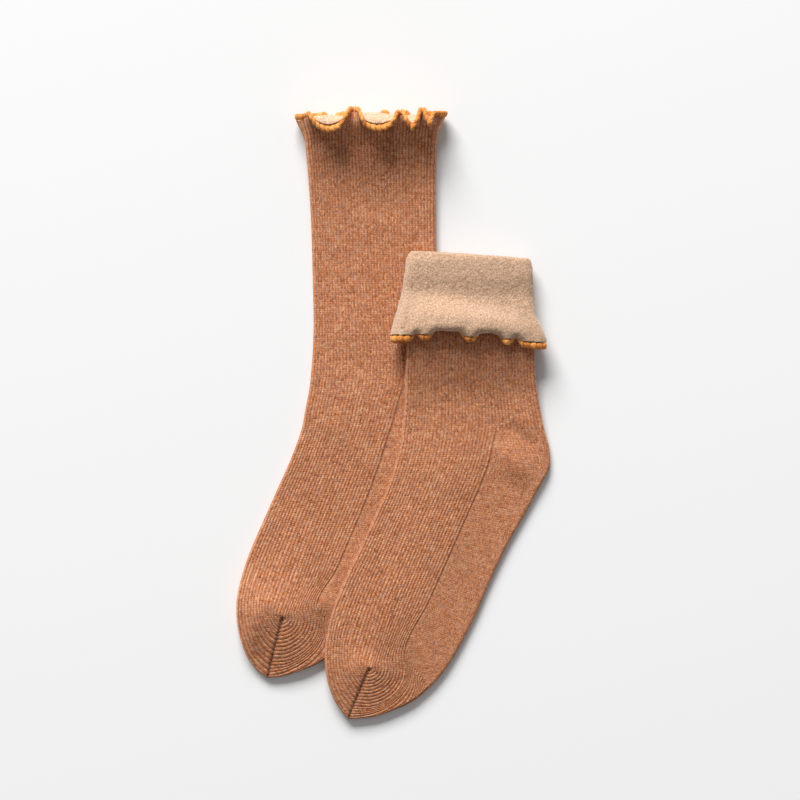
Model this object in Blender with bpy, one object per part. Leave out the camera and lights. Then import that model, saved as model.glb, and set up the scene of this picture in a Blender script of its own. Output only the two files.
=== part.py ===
"""A pair of rib-knit socks with a brushed lining and a wavy overlocked hem, laid flat.

The long sock lies on the surface. The turned sock lies to its right, half over it, with its leg turned down
into a cuff so that the lining shows. Both are knitted tubes pressed flat: a wall all round, open at the mouth
and closed at the toe along a diagonal gore. Near the mouth the brushed lining is a layer of its own, and an
overlock bead closes the hem, which waves and rolls towards the knit's outer face.

+X runs across the legs, +Y from the toes to the mouths, +Z up from the surface. Sizes are millimetres here
and become metres when a mesh is made. A point of a sock has a place round the tube, from 0 to 6: 0 to 1 over
the top panel from the spine rib to the right edge, 1 to 2 round that edge, 2 to 4 back under, 4 to 5 round
the left edge, and 5 to 6 over the top again to the spine.
"""

from collections import namedtuple

import bmesh
import bpy
import numpy as np

MM = 0.001
ORIGIN = (0.0, -0.3)  # the middle of the pair's outline, which becomes the model's origin

# Cloth
WALL = 1.8  # knit with its brushed face, where the lining is not a layer of its own
KNIT = 1.0  # the outer knit alone
LINING = 1.0  # the brushed lining alone
GAP = 0.3  # between pieces, and between layers that lie on each other
HEM_GAP = 0.7  # from the ends of knit and lining to the bead
HALF_FLAT = WALL + GAP  # half the thickness of the flat tube
HALF_MOUTH = KNIT + GAP + LINING + GAP / 2  # the same where the lining is a layer of its own
KNIT_MID = HALF_MOUTH - KNIT / 2  # from the tube's middle to the middle of the outer knit
FOLD_RADIUS = (KNIT + GAP) / 2  # of the knit's middle, where the leg turns down

# Overlock bead, beyond the ends of knit and lining
HEM_WIDTH = 4.0
HEM_HALF = 1.25
HEM_DEPTH = -(GAP + LINING) / 2  # from the knit's middle to the middle of knit and lining
HEM_SIDES = 6

# The turned sock clears the long one, and comes down to the surface beyond its edge
DRAPE_HEIGHT = 2 * HALF_FLAT + GAP
DRAPE_FROM, DRAPE_TO = 7.0, 26.0

Section = namedtuple("Section", "name left border right lead half steps")
Fan = namedtuple("Fan", "name left border right")
Rim = namedtuple("Rim", "name root edge lean curl reach")
Course = namedtuple("Course", "fold rise fall settle roll length plain waved")
Spread = namedtuple("Spread", "length left right")
Height = namedtuple("Height", "y height")
Swell = namedtuple("Swell", "name x y along across angle height")
Sock = namedtuple("Sock", "rows shares halves lining course spread front back lift swells rest drape")

SPINE_SHARE = 0.35  # of the leg's width, from its left edge to the rib that runs into the toe's gore
BORDER_SHARE = 0.64  # to the last instep rib
LEFT_SHARE_LEG = 0.5  # where the column between spine and left edge runs, on the leg
LEFT_SHARE_GORE = 0.34  # and on the gore, where it meets the last instep rib

# The long sock from its mouth to its toe: left edge, last instep rib and right edge in plan, how far the
# spine rib runs ahead of the row, half the tube's thickness, and the rows from here to the next section. Where
# no instep rib is given, it keeps the leg's share.
LONG_SECTIONS = (
    Section("ruffle_root", (-56.5, 171.5), None, (28.0, 171.5), 0, HALF_MOUTH, 1),
    Section("lining_foot", (-55.1, 157.0), None, (27.7, 157.0), 0, HALF_MOUTH, 1),
    Section("leg_upper", (-53.5, 135.5), None, (27.5, 135.5), 0, HALF_FLAT, 1),
    Section("leg_middle", (-52.0, 90.0), None, (28.5, 90.0), 0, HALF_FLAT, 1),
    Section("leg_lower", (-51.5, 51.0), None, (32.5, 51.0), 0, HALF_FLAT, 1),
    Section("ankle", (-52.5, 32.0), None, (36.5, 33.5), 0, HALF_FLAT, 1),
    Section("heel_top", (-54.5, 14.0), (6.0, 16.5), (41.0, 18.0), 0, HALF_FLAT, 1),
    Section("heel_upper", (-56.5, 4.0), (3.0, 7.0), (44.5, 2.5), 0, HALF_FLAT, 1),
    Section("heel_tip", (-59.0, -9.5), (0.0, -5.0), (44.0, -9.0), 0, HALF_FLAT, 1),
    Section("heel_lower", (-62.5, -20.0), (-4.0, -17.0), (39.0, -18.5), 0, HALF_FLAT, 1),
    Section("arch", (-67.0, -31.5), (-9.0, -33.0), (31.0, -33.0), 0, HALF_FLAT, 1),
    Section("instep", (-75.5, -50.5), (-17.5, -56.0), (17.5, -57.0), 1, HALF_FLAT, 1),
    Section("mid_foot", (-85.0, -72.0), (-28.0, -81.0), (4.5, -83.5), 5, HALF_FLAT, 1),
    Section("ball", (-93.0, -90.5), (-36.5, -100.5), (-4.5, -107.0), 13, HALF_FLAT, 1),
)
LONG_GORE = (-71.0, -131.0)
LONG_TOE = (
    Fan("toe_start", (-98.0, -105.5), (-49.0, -124.0), (-32.5, -151.0)),
    Fan("toe_turn", (-101.5, -122.5), (-54.0, -140.5), (-41.0, -157.5)),
    Fan("toe_side", (-100.0, -142.0), (-60.5, -148.5), (-52.5, -164.0)),
    Fan("toe_low", (-95.0, -157.0), (-67.0, -149.0), (-64.5, -168.5)),
    Fan("toe_last", (-89.0, -165.5), (-71.0, -147.5), (-73.0, -170.8)),
    Fan("toe_tip", (-81.5, -171.5), (-74.57, -144.77), (-81.5, -171.5)),
)

# The turned sock, from the fold at the top of its cuff.
TURNED_SECTIONS = (
    Section("fold", (13.0, 102.8), None, (86.6, 98.4), 0, HALF_MOUTH, 1),
    Section("lining_foot", (12.4, 93.6), None, (87.3, 89.3), 0, HALF_MOUTH, 1),
    Section("in_cuff", (11.0, 73.0), None, (89.0, 69.3), 0, HALF_FLAT, 2),
    Section("under_hem", (9.0, 44.5), None, (91.5, 40.5), 0, HALF_FLAT, 1),
    Section("leg_lower", (8.0, 22.0), None, (92.5, 22.0), 0, HALF_FLAT, 1),
    Section("ankle", (7.5, 5.0), None, (95.0, 5.5), 0, HALF_FLAT, 1),
    Section("heel_top", (6.0, -10.5), (66.5, -10.5), (98.0, -9.5), 0, HALF_FLAT, 1),
    Section("heel_upper", (5.0, -20.0), (64.5, -20.0), (101.5, -23.5), 0, HALF_FLAT, 1),
    Section("heel_tip", (2.5, -29.5), (62.5, -30.0), (101.5, -35.0), 0, HALF_FLAT, 1),
    Section("heel_lower", (-0.5, -39.5), (58.5, -41.5), (96.0, -46.0), 0, HALF_FLAT, 1),
    Section("arch", (-4.5, -50.5), (53.5, -53.5), (88.5, -60.0), 0, HALF_FLAT, 1),
    Section("instep", (-12.5, -68.0), (43.0, -77.5), (75.0, -84.0), 1, HALF_FLAT, 2),
    Section("mid_foot", (-21.5, -87.5), (33.0, -100.0), (62.0, -111.0), 5, HALF_FLAT, 2),
    Section("ball", (-30.0, -105.0), (24.0, -120.0), (52.5, -133.0), 13, HALF_FLAT, 2),
)
TURNED_GORE = (-15.0, -164.0)
TURNED_TOE = (
    Fan("toe_start", (-41.5, -137.0), (7.5, -156.5), (22.0, -179.5)),
    Fan("toe_turn", (-44.0, -153.5), (2.0, -170.5), (11.5, -187.5)),
    Fan("toe_side", (-43.0, -170.0), (-5.0, -178.0), (0.0, -192.5)),
    Fan("toe_low", (-38.5, -184.5), (-11.5, -179.0), (-11.5, -196.5)),
    Fan("toe_last", (-34.0, -192.0), (-15.5, -177.5), (-21.0, -197.8)),
    Fan("toe_tip", (-29.0, -198.0), (-19.76, -175.56), (-29.0, -198.0)),
)

# How the cloth runs on from the first section, in lengths along it: how much turns down in the fold, where it
# leans out and where it stops leaning, what share of the lean is left, where the hem rolls, its whole length,
# and the rows of the mesh before the waves and in them.
LONG_COURSE = Course(
    0.0, (0.0, 6.0), (13.0, 26.0), -0.5, (14.5, 24.5), 30.0,
    (0.0,), (8.0, 14.5, 17.0, 19.5, 22.0),
)
TURNED_COURSE = Course(
    np.pi * FOLD_RADIUS, (24.0, 30.0), (38.0, 46.0), 0.0, (48.5, 55.0), 59.0,
    (0.0, 0.68, 1.36, 2.04, 12.0, 24.0), (31.0, 37.5, 44.0, 48.5, 51.6),
)

# Left and right ends of the panels along that course.
LONG_SPREAD = (Spread(0, -54.05, 25.55), Spread(30, -54.05, 25.55))
TURNED_SPREAD = (
    Spread(0, 15.45, 84.15),
    Spread(5.5, 13.6, 85.2),
    Spread(17, 12.2, 86.0),
    Spread(33, 9.6, 87.0),
    Spread(47.5, 7.3, 88.6),
    Spread(59, 6.8, 89.4),
)

# The waves of each hem, for the top panel and the one beneath: where a rib stands at the course's start and
# where it ends at the hem, both along X; how far it leans out and how far it rolls over, in degrees; and what
# share of its length it reaches along the sock.
LONG_FRONT = (
    Rim("left_lobe", -54.0, -54.5, 8, 22, 0.68),
    Rim("left_peak", -50.5, -52.0, 22, 12, 0.85),
    Rim("dip_1_in", -47.6, -48.6, 20, 75, 0.93),
    Rim("dip_1_left", -45.0, -46.2, 18, 150, 0.98),
    Rim("dip_1", -40.0, -40.0, 18, 174, 0.98),
    Rim("dip_1_right", -34.6, -33.8, 18, 150, 0.98),
    Rim("dip_1_out", -31.8, -31.0, 20, 75, 0.93),
    Rim("peak_1", -26.0, -26.0, 24, -10, 0.87),
    Rim("dip_2_in", -20.2, -20.9, 20, 75, 0.93),
    Rim("dip_2_left", -17.2, -18.2, 18, 145, 0.98),
    Rim("dip_2", -9.0, -9.0, 18, 168, 0.98),
    Rim("dip_2_right", -1.8, -0.7, 18, 145, 0.98),
    Rim("dip_2_out", 1.0, 1.8, 20, 75, 0.93),
    Rim("peak_2", 4.6, 5.2, 23, 0, 0.84),
    Rim("dip_3_in", 7.8, 8.0, 20, 60, 0.93),
    Rim("dip_3", 11.2, 11.6, 18, 116, 0.97),
    Rim("dip_3_out", 14.6, 15.2, 20, 60, 0.93),
    Rim("peak_3", 18.5, 19.4, 23, -4, 0.86),
    Rim("dip_4", 22.5, 24.4, 18, 78, 0.92),
    Rim("right_lobe", 25.5, 27.4, 9, 42, 0.78),
)
LONG_BACK = (
    Rim("left_lobe", -54.0, -54.5, 6, 14, 0.70),
    Rim("peak_1", -46.0, -46.5, 0, -14, 0.80),
    Rim("dip_1", -37.0, -37.0, 0, 14, 0.76),
    Rim("peak_2", -27.0, -27.0, 0, -18, 0.80),
    Rim("dip_2", -16.0, -15.5, 0, 16, 0.76),
    Rim("peak_3", -6.0, -6.0, 0, -20, 0.80),
    Rim("dip_3", 4.0, 4.0, 0, 14, 0.77),
    Rim("peak_4", 13.0, 13.5, 0, -14, 0.80),
    Rim("right_lobe", 25.5, 27.4, 6, 20, 0.78),
)
TURNED_FRONT = (
    Rim("left_lobe", 15.5, 5.6, 6, 6, 1.0),
    Rim("left_tongue", 21.2, 11.5, 18, 22, 1.0),
    Rim("dip_1", 24.8, 15.8, 28, 50, 1.0),
    Rim("tongue_1", 29.6, 21.8, 27, 38, 1.0),
    Rim("dip_2_left", 36.2, 30.0, 33, 72, 1.0),
    Rim("dip_2", 41.4, 36.5, 38, 92, 1.0),
    Rim("dip_2_right", 46.6, 43.0, 33, 72, 1.0),
    Rim("tongue_2", 51.2, 50.1, 27, 42, 1.0),
    Rim("dip_3_left", 56.2, 56.6, 33, 70, 1.0),
    Rim("dip_3", 61.4, 62.8, 37, 88, 1.0),
    Rim("dip_3_right", 66.0, 68.0, 32, 68, 1.0),
    Rim("tongue_3", 71.0, 73.4, 27, 38, 1.0),
    Rim("dip_4", 75.6, 79.2, 26, 54, 1.0),
    Rim("tongue_4", 80.0, 85.0, 14, 24, 1.0),
    Rim("right_lobe", 84.1, 92.4, 6, 12, 1.0),
)
TURNED_BACK = (
    Rim("left_lobe", 15.5, 5.6, 0, -2, 1.0),
    Rim("dip_1", 28.0, 21.5, 0, -5, 1.0),
    Rim("tongue_1", 40.0, 36.0, 0, 0, 1.0),
    Rim("dip_2", 50.0, 50.0, 0, -5, 1.0),
    Rim("tongue_2", 60.0, 62.5, 0, 0, 1.0),
    Rim("dip_3", 72.0, 76.0, 0, -5, 1.0),
    Rim("right_lobe", 84.1, 92.4, 0, -3, 1.0),
)

# How high the middle of each tube is carried above its place on the surface.
LONG_LIFT = (Height(120, 0), Height(150, 1.2), Height(171.5, 3.4), Height(200, 4.4))
TURNED_LIFT = (
    Height(-8, 0), Height(20, 1.5), Height(46, 4.2), Height(74, 3.1), Height(92, 5.2), Height(104, 5.6),
)

# Soft swellings of the upper panel, each a bell with its own length, width and direction.
LONG_SWELLS = (
    Swell("toe", -79.0, -121.0, 17.0, 13.0, 62, 3.0),
    Swell("toe_low", -66.0, -146.0, 12.0, 9.0, 62, 1.4),
)
TURNED_SWELLS = (
    Swell("toe", -19.0, -156.0, 17.0, 13.0, 65, 3.0),
    Swell("toe_low", -10.0, -178.0, 12.0, 9.0, 62, 1.4),
    Swell("heel", 84.0, -26.0, 18.0, 7.0, -45, 1.6),
)

# What the hem comes to rest on: the surface under the long sock's, and the leg under the turned one's.
HEM_CLEAR = HEM_HALF - HEM_DEPTH + 1.5 * GAP
LEG_CLEAR = HALF_FLAT - KNIT_MID + HEM_CLEAR
SURFACE_EASE, LEG_EASE = 0.5, 1.3  # how gently it comes to rest there

LINING_ROW = 1  # the row where the lining becomes a layer of its own
PANEL_STEPS = 8  # columns across a panel before the waves
EDGE_STEPS = 3  # round each side edge
COURSE_STEP = 0.25  # of the sums along a rib's course
PLACE_STEP = 0.01  # round the tube, for its normals
TURN_STEP = 40  # degrees of roll that neighbouring columns may differ


def ramp(x, low, high):
    """0 below low, 1 above high, and a smooth S between them."""
    t = np.clip((np.asarray(x, float) - low) / (high - low), 0, 1)
    return t * t * (3 - 2 * t)


def through(x, known, values):
    """A smooth curve through known values that is level at each peak and dip, so it never overshoots."""
    known, values = np.asarray(known, float), np.asarray(values, float)
    gap = np.diff(known)
    slope = np.diff(values) / gap
    product, total = slope[1:] * slope[:-1], slope[1:] + slope[:-1]
    inner = np.where(product > 0, 2 * product / np.where(product > 0, total, 1), 0)
    tangent = np.concatenate([[0], inner, [0]])
    i = np.clip(np.searchsorted(known, x, side="right") - 1, 0, len(gap) - 1)
    t = np.clip((x - known[i]) / gap[i], 0, 1)
    return (
        (2 * t**3 - 3 * t**2 + 1) * values[i]
        + (3 * t**2 - 2 * t**3) * values[i + 1]
        + (t**3 - 2 * t**2 + t) * gap[i] * tangent[i]
        + (t**3 - t**2) * gap[i] * tangent[i + 1]
    )


def lift_at(y, heights):
    return through(y, [h.y for h in heights], [h.height for h in heights])


# --- The flat outline


def section_rows(sections, gore, fans):
    """A row of four plan points for each section and fan: left edge, spine, last instep rib, right edge."""
    rows = []
    for section in sections:
        left, right = np.array(section.left), np.array(section.right)
        border = left + BORDER_SHARE * (right - left) if section.border is None else np.array(section.border)
        across = border - left
        ahead = np.array([across[1], -across[0]]) / np.hypot(*across)
        spine = left + SPINE_SHARE / BORDER_SHARE * across + section.lead * ahead
        rows.append((left, spine, border, right))
    for fan in fans:
        rows.append((fan.left, gore, fan.border, fan.right))
    return np.array(rows, float)


def refined(values, steps):
    """The values with steps - 1 more in each gap, on a cubic through them with even tangents."""
    slopes = np.diff(values, axis=0)
    tangents = np.concatenate([slopes[:1], (slopes[:-1] + slopes[1:]) / 2, slopes[-1:]])
    made = [values[0]]
    for i, count in enumerate(steps):
        for t in np.arange(1, count + 1) / count:
            start, end = values[i], values[i + 1]
            pull = (t**3 - 2 * t**2 + t) * tangents[i] + (t**3 - t**2) * tangents[i + 1]
            made.append(start + (3 * t**2 - 2 * t**3) * (end - start) + pull)
    return np.array(made)


def outside(points, polygon):
    """Distance of plan points from a closed outline, negative inside it."""
    ends = np.roll(polygon, -1, axis=0)
    edge = ends - polygon
    away = points[:, None] - polygon
    share = np.clip((away * edge).sum(2) / np.maximum((edge**2).sum(1), 1e-9), 0, 1)
    distance = np.linalg.norm(away - share[..., None] * edge, axis=2).min(1)
    spans = (polygon[:, 1] > points[:, None, 1]) != (ends[:, 1] > points[:, None, 1])
    rise = np.where(edge[:, 1] == 0, 1, edge[:, 1])
    crossing = polygon[:, 0] + away[..., 1] / rise * edge[:, 0]
    inside = (spans & (points[:, None, 0] < crossing)).sum(1) % 2 == 1
    return np.where(inside, -distance, distance)


def over_long_sock(rows):
    """The drape of the turned sock: raised over the long one, and down to the surface beyond its edge."""
    outline = np.concatenate([rows[:, 0], rows[::-1, 3]])

    def drape(plan):
        away = outside(plan.reshape(-1, 2), outline).reshape(plan.shape[:-1])
        return DRAPE_HEIGHT * (1 - ramp(away, DRAPE_FROM, DRAPE_TO))

    return drape


def flat_on_surface(plan):
    return np.zeros(plan.shape[:-1])


# --- The tube


def around(places):
    """For places round the tube, how far across they are, from -1 left to 1 right, and the outward angle."""
    places = places % 6
    turns = [0, 1, 2, 4, 5, 6]
    across = np.interp(places, turns, [0, 1, 1, -1, -1, 0])
    angle = np.radians(np.interp(places, turns, [0, 0, 180, 180, 360, 360]))
    return across, angle


def places_for(top, under):
    """The places of columns that run at these distances across, on the top panel and beneath."""
    bends = np.arange(1, EDGE_STEPS) / EDGE_STEPS
    over = np.where(top < 0, top + 6, top)
    return np.sort(np.concatenate([over, 1 + bends, 3 - under, 4 + bends]))


def core(sock):
    """Five plan points across each row, set in from the edges by the tube's half thickness, and the
    directions out at both ends."""
    left, spine, border, right = np.moveaxis(sock.rows, 1, 0)
    middle = spine + sock.shares[:, None] * (left - spine)
    out_left = (left - middle) / np.linalg.norm(left - middle, axis=1, keepdims=True)
    out_right = (right - border) / np.linalg.norm(right - border, axis=1, keepdims=True)
    inset = sock.halves[:, None]
    nodes = np.stack([left - inset * out_left, middle, spine, border, right - inset * out_right], 1)
    return nodes, out_left, out_right


def between_nodes(nodes, across):
    """Points of each row at distances across it, straight from node to node."""
    at = (across + 1) * 2
    first = np.clip(at.astype(int), 0, 3)
    share = (at - first)[:, None]
    return nodes[:, first] * (1 - share) + nodes[:, first + 1] * share


def swell_at(plan, swells):
    """Height of the swellings over plan points."""
    height = np.zeros(plan.shape[:-1])
    for s in swells:
        off_x, off_y = plan[..., 0] - s.x, plan[..., 1] - s.y
        cosine, sine = np.cos(np.radians(s.angle)), np.sin(np.radians(s.angle))
        along, across = off_x * cosine + off_y * sine, off_y * cosine - off_x * sine
        height += s.height * np.exp(-((along / s.along) ** 2) - (across / s.across) ** 2)
    return height


def tube(sock, places, radii):
    """Rings of points round every row, each at its own radius from the flat core."""
    nodes, out_left, out_right = core(sock)
    across, angle = around(places)
    plan = between_nodes(nodes, across)
    out = np.where((places < 3)[None, :, None], out_right[:, None], -out_left[:, None])
    radius = np.asarray(radii, float)[:, None]
    middle = HALF_FLAT + lift_at(plan[..., 1], sock.lift) + sock.drape(plan)
    points = np.empty((*plan.shape[:2], 3))
    points[..., :2] = plan + out * (radius * np.sin(angle))[..., None]
    upward = np.cos(angle)
    points[..., 2] = middle + radius * upward + np.clip(upward, 0, 1) * swell_at(plan, sock.swells)
    return points


# --- The mouth: ribs that run on from the first row, over the fold and through the waves


def wave_at(sock, x, outward):
    """Where ribs that start at x end, their lean, roll and reach, mixed from both panels at the edges."""

    def read(rims):
        known = [r.root for r in rims]
        columns = zip(*((r.edge, r.lean, r.curl, r.reach) for r in rims))
        return np.array([through(x, known, column) for column in columns])

    top = (outward + 1) / 2
    return top * read(sock.front) + (1 - top) * read(sock.back)


def run_of_rib(course, lengths, lean, curl):
    """Along the sock and out of it after each length, from sums of the cosine and sine of the angle of
    travel: a half turn through the fold, then the lean, then the roll."""
    fine = np.arange(-2, course.length / COURSE_STEP + 3)[:, None] * COURSE_STEP
    fold = np.clip(fine / course.fold, 0, 1) * 180 if course.fold else 0 * fine
    leaning = ramp(fine, *course.rise) - (1 - course.settle) * ramp(fine, *course.fall)
    rolling = np.clip((fine - course.roll[0]) / (course.roll[1] - course.roll[0]), 0, 1)
    angle = np.radians(fold + (-1 if course.fold else 1) * lean * leaning + curl * rolling)
    halfway = (angle[1:] + angle[:-1]) / 2

    def total(step):
        sums = np.concatenate([np.zeros((1, angle.shape[1])), np.cumsum(step, axis=0)]) * COURSE_STEP
        sums -= sums[2]
        at = lengths / COURSE_STEP + 2
        first = np.clip(at.astype(int), 0, len(fine) - 2)
        share = (at - first)[:, None]
        return sums[first] * (1 - share) + sums[first + 1] * share

    return total(np.cos(halfway)), total(np.sin(halfway))


def mouth_middle(sock, places, lengths):
    """Points of the knit's middle, after each length past the first row."""
    nodes, out_left, out_right = core(sock)
    across, angle = around(places)
    plan = between_nodes(nodes[:1], across)[0]
    out_x = np.sin(angle) * np.where(places < 3, out_right[0, 0], -out_left[0, 0])
    out_z = np.cos(angle)
    edge, lean, curl, reach = wave_at(sock, plan[:, 0], out_z)
    along, out = run_of_rib(sock.course, lengths, lean, curl)

    ends = np.array(sock.spread)
    low, high = (through(lengths, ends[:, 0], ends[:, k])[:, None] for k in (1, 2))
    share = (plan[:, 0] - nodes[0, 0, 0]) / (nodes[0, -1, 0] - nodes[0, 0, 0])
    shifted = edge - (ends[-1, 1] + (ends[-1, 2] - ends[-1, 1]) * share)
    x = low + (high - low) * share + ramp(lengths, sock.course.rise[0], sock.course.length)[:, None] * shifted
    return sock.rest(lengths, x, plan[:, 1] + reach * along, out, out_x, out_z, sock)


def placed(x, y, out, out_x, out_z, sock):
    """Points of the knit's middle from the core's plan and the distance out of the tube."""
    plan = np.stack([x + out_x * (KNIT_MID + out), y], axis=-1)
    middle = HALF_FLAT + lift_at(y, sock.lift) + sock.drape(plan)
    return np.concatenate([plan, (middle + out_z * (KNIT_MID + out))[..., None]], axis=-1)


def rests(height, low, ease):
    """The height, eased so that it never comes below low."""
    return low + ease * np.logaddexp(0, (height - low) / ease)


def on_the_surface(lengths, x, y, out, out_x, out_z, sock):
    points = placed(x, y, out, out_x, out_z, sock)
    points[..., 2] = rests(points[..., 2], HEM_CLEAR, SURFACE_EASE)
    return points


def on_the_leg(lengths, x, y, out, out_x, out_z, sock):
    waving = ramp(lengths, sock.course.rise[0], sock.course.roll[0])[:, None] * np.clip(out_z, 0, 1)
    return placed(x, y, out + waving * (rests(out, LEG_CLEAR, LEG_EASE) - out), out_x, out_z, sock)


def mouth(sock, places, lengths, depth):
    """Rings of the cloth after each length past the first row, at a depth out of the knit's middle, along the
    normal that small steps round and along the cloth give."""
    lengths = np.asarray(lengths, float)

    def middle(place_step, length_step):
        return mouth_middle(sock, places + place_step, lengths + length_step)

    round_it = middle(PLACE_STEP, 0) - middle(-PLACE_STEP, 0)
    up_it = middle(0, COURSE_STEP) - middle(0, -COURSE_STEP)
    normal = np.cross(round_it, up_it)
    return middle(0, 0) + depth * normal / np.linalg.norm(normal, axis=2, keepdims=True)


# --- Pieces


class Rings:
    """The runs of rings that a sock's pieces are made from. Plain rings have evenly spaced columns, and the
    waved ones near the hem have a column at each rib of the rim tables."""

    def __init__(self, sock):
        self.sock = sock
        nodes = core(sock)[0][0, :, 0]
        even = np.linspace(-1, 1, PANEL_STEPS + 1)

        def across(rims):
            """Columns at the ribs of the table, and more between two whose roll differs much."""
            roots = [rims[0].root]
            for rim, following in zip(rims, rims[1:]):
                count = int(np.ceil(abs(following.curl - rim.curl) / TURN_STEP)) or 1
                roots.extend(rim.root + (following.root - rim.root) * np.arange(1, count + 1) / count)
            return np.interp(roots, nodes, np.linspace(-1, 1, len(nodes)))

        self.plain = places_for(even, even)
        self.waved = places_for(across(sock.front), across(sock.back))
        self.edge = sock.course.length - HEM_WIDTH - HEM_GAP

    def leg(self, radii):
        """Rings of every row from the mouth's root to the toe tip."""
        return [(ring, self.plain) for ring in tube(self.sock, self.plain, radii)]

    def collar(self, depth):
        """Rings from the first row out to the ends of knit and lining."""
        course = self.sock.course
        plain = mouth(self.sock, self.plain, np.array(course.plain), depth)
        waved = mouth(self.sock, self.waved, np.array([*course.waved, self.edge]), depth)
        return [(ring, self.plain) for ring in plain] + [(ring, self.waved) for ring in waved]

    def body(self):
        """Outside from the toe tip to the hem, and back inside, with a step where the lining starts."""
        halves, lining = self.sock.halves, self.sock.lining
        outer = self.leg(halves)[:0:-1]
        inner = self.leg(halves - KNIT)[1 : lining + 1] + self.leg(halves - WALL)[lining:]
        return outer + self.collar(KNIT / 2) + self.collar(-KNIT / 2)[::-1] + inner

    def lining(self):
        """A closed loop of rings: up the face towards the knit and down the brushed face."""
        halves, first = self.sock.halves, self.sock.lining
        rows = self.sock.rows.copy()
        rows[first, :, 1] += GAP
        lined = Rings(self.sock._replace(rows=rows))
        face, brushed = KNIT / 2 + GAP, KNIT / 2 + GAP + LINING
        up = lined.leg(halves - KNIT - GAP)[first:0:-1] + self.collar(-face)
        down = self.collar(-brushed)[::-1] + lined.leg(halves - KNIT - GAP - LINING)[1 : first + 1]
        return up + down

    def hem(self):
        """The bead: rings at even angles round its oval section."""
        angles = 2 * np.pi * np.arange(HEM_SIDES) / HEM_SIDES
        middle = self.sock.course.length - HEM_WIDTH / 2
        made = []
        for angle in angles:
            length = middle - HEM_WIDTH / 2 * np.cos(angle)
            ring = mouth(self.sock, self.waved, np.array([length]), HEM_DEPTH - HEM_HALF * np.sin(angle))[0]
            made.append((ring, self.waved))
        return made


def bridge(mesh, first, first_places, second, second_places):
    """Faces between two loops of vertices, in the order of their places round the tube."""
    i = j = 0
    while i < len(first) or j < len(second):
        next_i = first_places[i + 1] if i + 1 < len(first) else 6 + first_places[0]
        next_j = second_places[j + 1] if j + 1 < len(second) else 6 + second_places[0]
        a, b = first[i % len(first)], second[j % len(second)]
        a_next, b_next = first[(i + 1) % len(first)], second[(j + 1) % len(second)]
        step_i = i < len(first) and (j >= len(second) or next_i <= next_j + 1e-9)
        step_j = j < len(second) and (i >= len(first) or next_j <= next_i + 1e-9)
        if step_i and step_j:
            corners = (a, a_next, b_next, b)
        elif step_i:
            corners = (a, a_next, b)
        else:
            corners = (a, b_next, b)
        mesh.faces.new(corners)
        i, j = i + step_i, j + step_j


def solid(name, rings, closed, material):
    """One closed body from a run of rings. closed joins the last ring to the first; otherwise both ends are
    loops folded flat, whose halves weld along the toe's gore."""
    mesh = bmesh.new()
    loops = []
    for points, places in rings:
        centred = (points - (*ORIGIN, 0)) * MM
        loops.append(([mesh.verts.new(point) for point in centred], places))
    following = loops[1:] + (loops[:1] if closed else [])
    for (first, first_places), (second, second_places) in zip(loops, following):
        bridge(mesh, first, first_places, second, second_places)
    bmesh.ops.remove_doubles(mesh, verts=mesh.verts, dist=1e-6)
    bmesh.ops.triangulate(mesh, faces=mesh.faces)
    bmesh.ops.recalc_face_normals(mesh, faces=mesh.faces)
    data = bpy.data.meshes.new(name)
    mesh.to_mesh(data)
    mesh.free()
    data.shade_smooth()
    data.materials.append(material)
    obj = bpy.data.objects.new(name, data)
    bpy.context.scene.collection.objects.link(obj)
    return obj


def cloth(name, colour, roughness):
    material = bpy.data.materials.new(name)
    material.use_nodes = True
    shader = material.node_tree.nodes["Principled BSDF"]
    shader.inputs["Base Color"].default_value = (*colour, 1)
    shader.inputs["Roughness"].default_value = roughness
    shader.inputs["Metallic"].default_value = 0
    return material


def make_sock(sections, gore, fans, course, spread, front, back, lift, swells, rest, drape):
    """A sock's rows from its tables, with the sections' steps between them."""
    steps = [section.steps for section in sections] + [1] * (len(fans) - 1)
    on_gore = np.linspace(LEFT_SHARE_LEG, LEFT_SHARE_GORE, len(fans))
    shares = np.concatenate([np.full(len(sections), LEFT_SHARE_LEG), on_gore])
    halves = np.array([section.half for section in sections] + [HALF_FLAT] * len(fans))
    rows = refined(section_rows(sections, gore, fans), steps)
    return Sock(
        rows, refined(shares, steps), refined(halves, steps), LINING_ROW, course, spread, front, back, lift,
        swells, rest, drape,
    )


def build(name, sock, knit, brushed, thread):
    rings = Rings(sock)
    solid(name + "_body", rings.body(), False, knit)
    solid(name + "_lining", rings.lining(), True, brushed)
    solid(name + "_hem", rings.hem(), True, thread)


def main():
    for obj in list(bpy.data.objects):
        bpy.data.objects.remove(obj, do_unlink=True)
    knit = cloth("rust_rib_knit", (0.42, 0.18, 0.09), 0.95)
    brushed = cloth("cream_brushed_lining", (0.66, 0.49, 0.36), 1.0)
    thread = cloth("mustard_overlock", (0.66, 0.30, 0.06), 0.8)
    long_sock = make_sock(
        LONG_SECTIONS, LONG_GORE, LONG_TOE, LONG_COURSE, LONG_SPREAD, LONG_FRONT, LONG_BACK, LONG_LIFT,
        LONG_SWELLS, on_the_surface, flat_on_surface,
    )
    turned_sock = make_sock(
        TURNED_SECTIONS, TURNED_GORE, TURNED_TOE, TURNED_COURSE, TURNED_SPREAD, TURNED_FRONT, TURNED_BACK,
        TURNED_LIFT, TURNED_SWELLS, on_the_leg, over_long_sock(long_sock.rows),
    )
    build("sock_a", long_sock, knit, brushed, thread)
    build("sock_b", turned_sock, knit, brushed, thread)


main()
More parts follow.
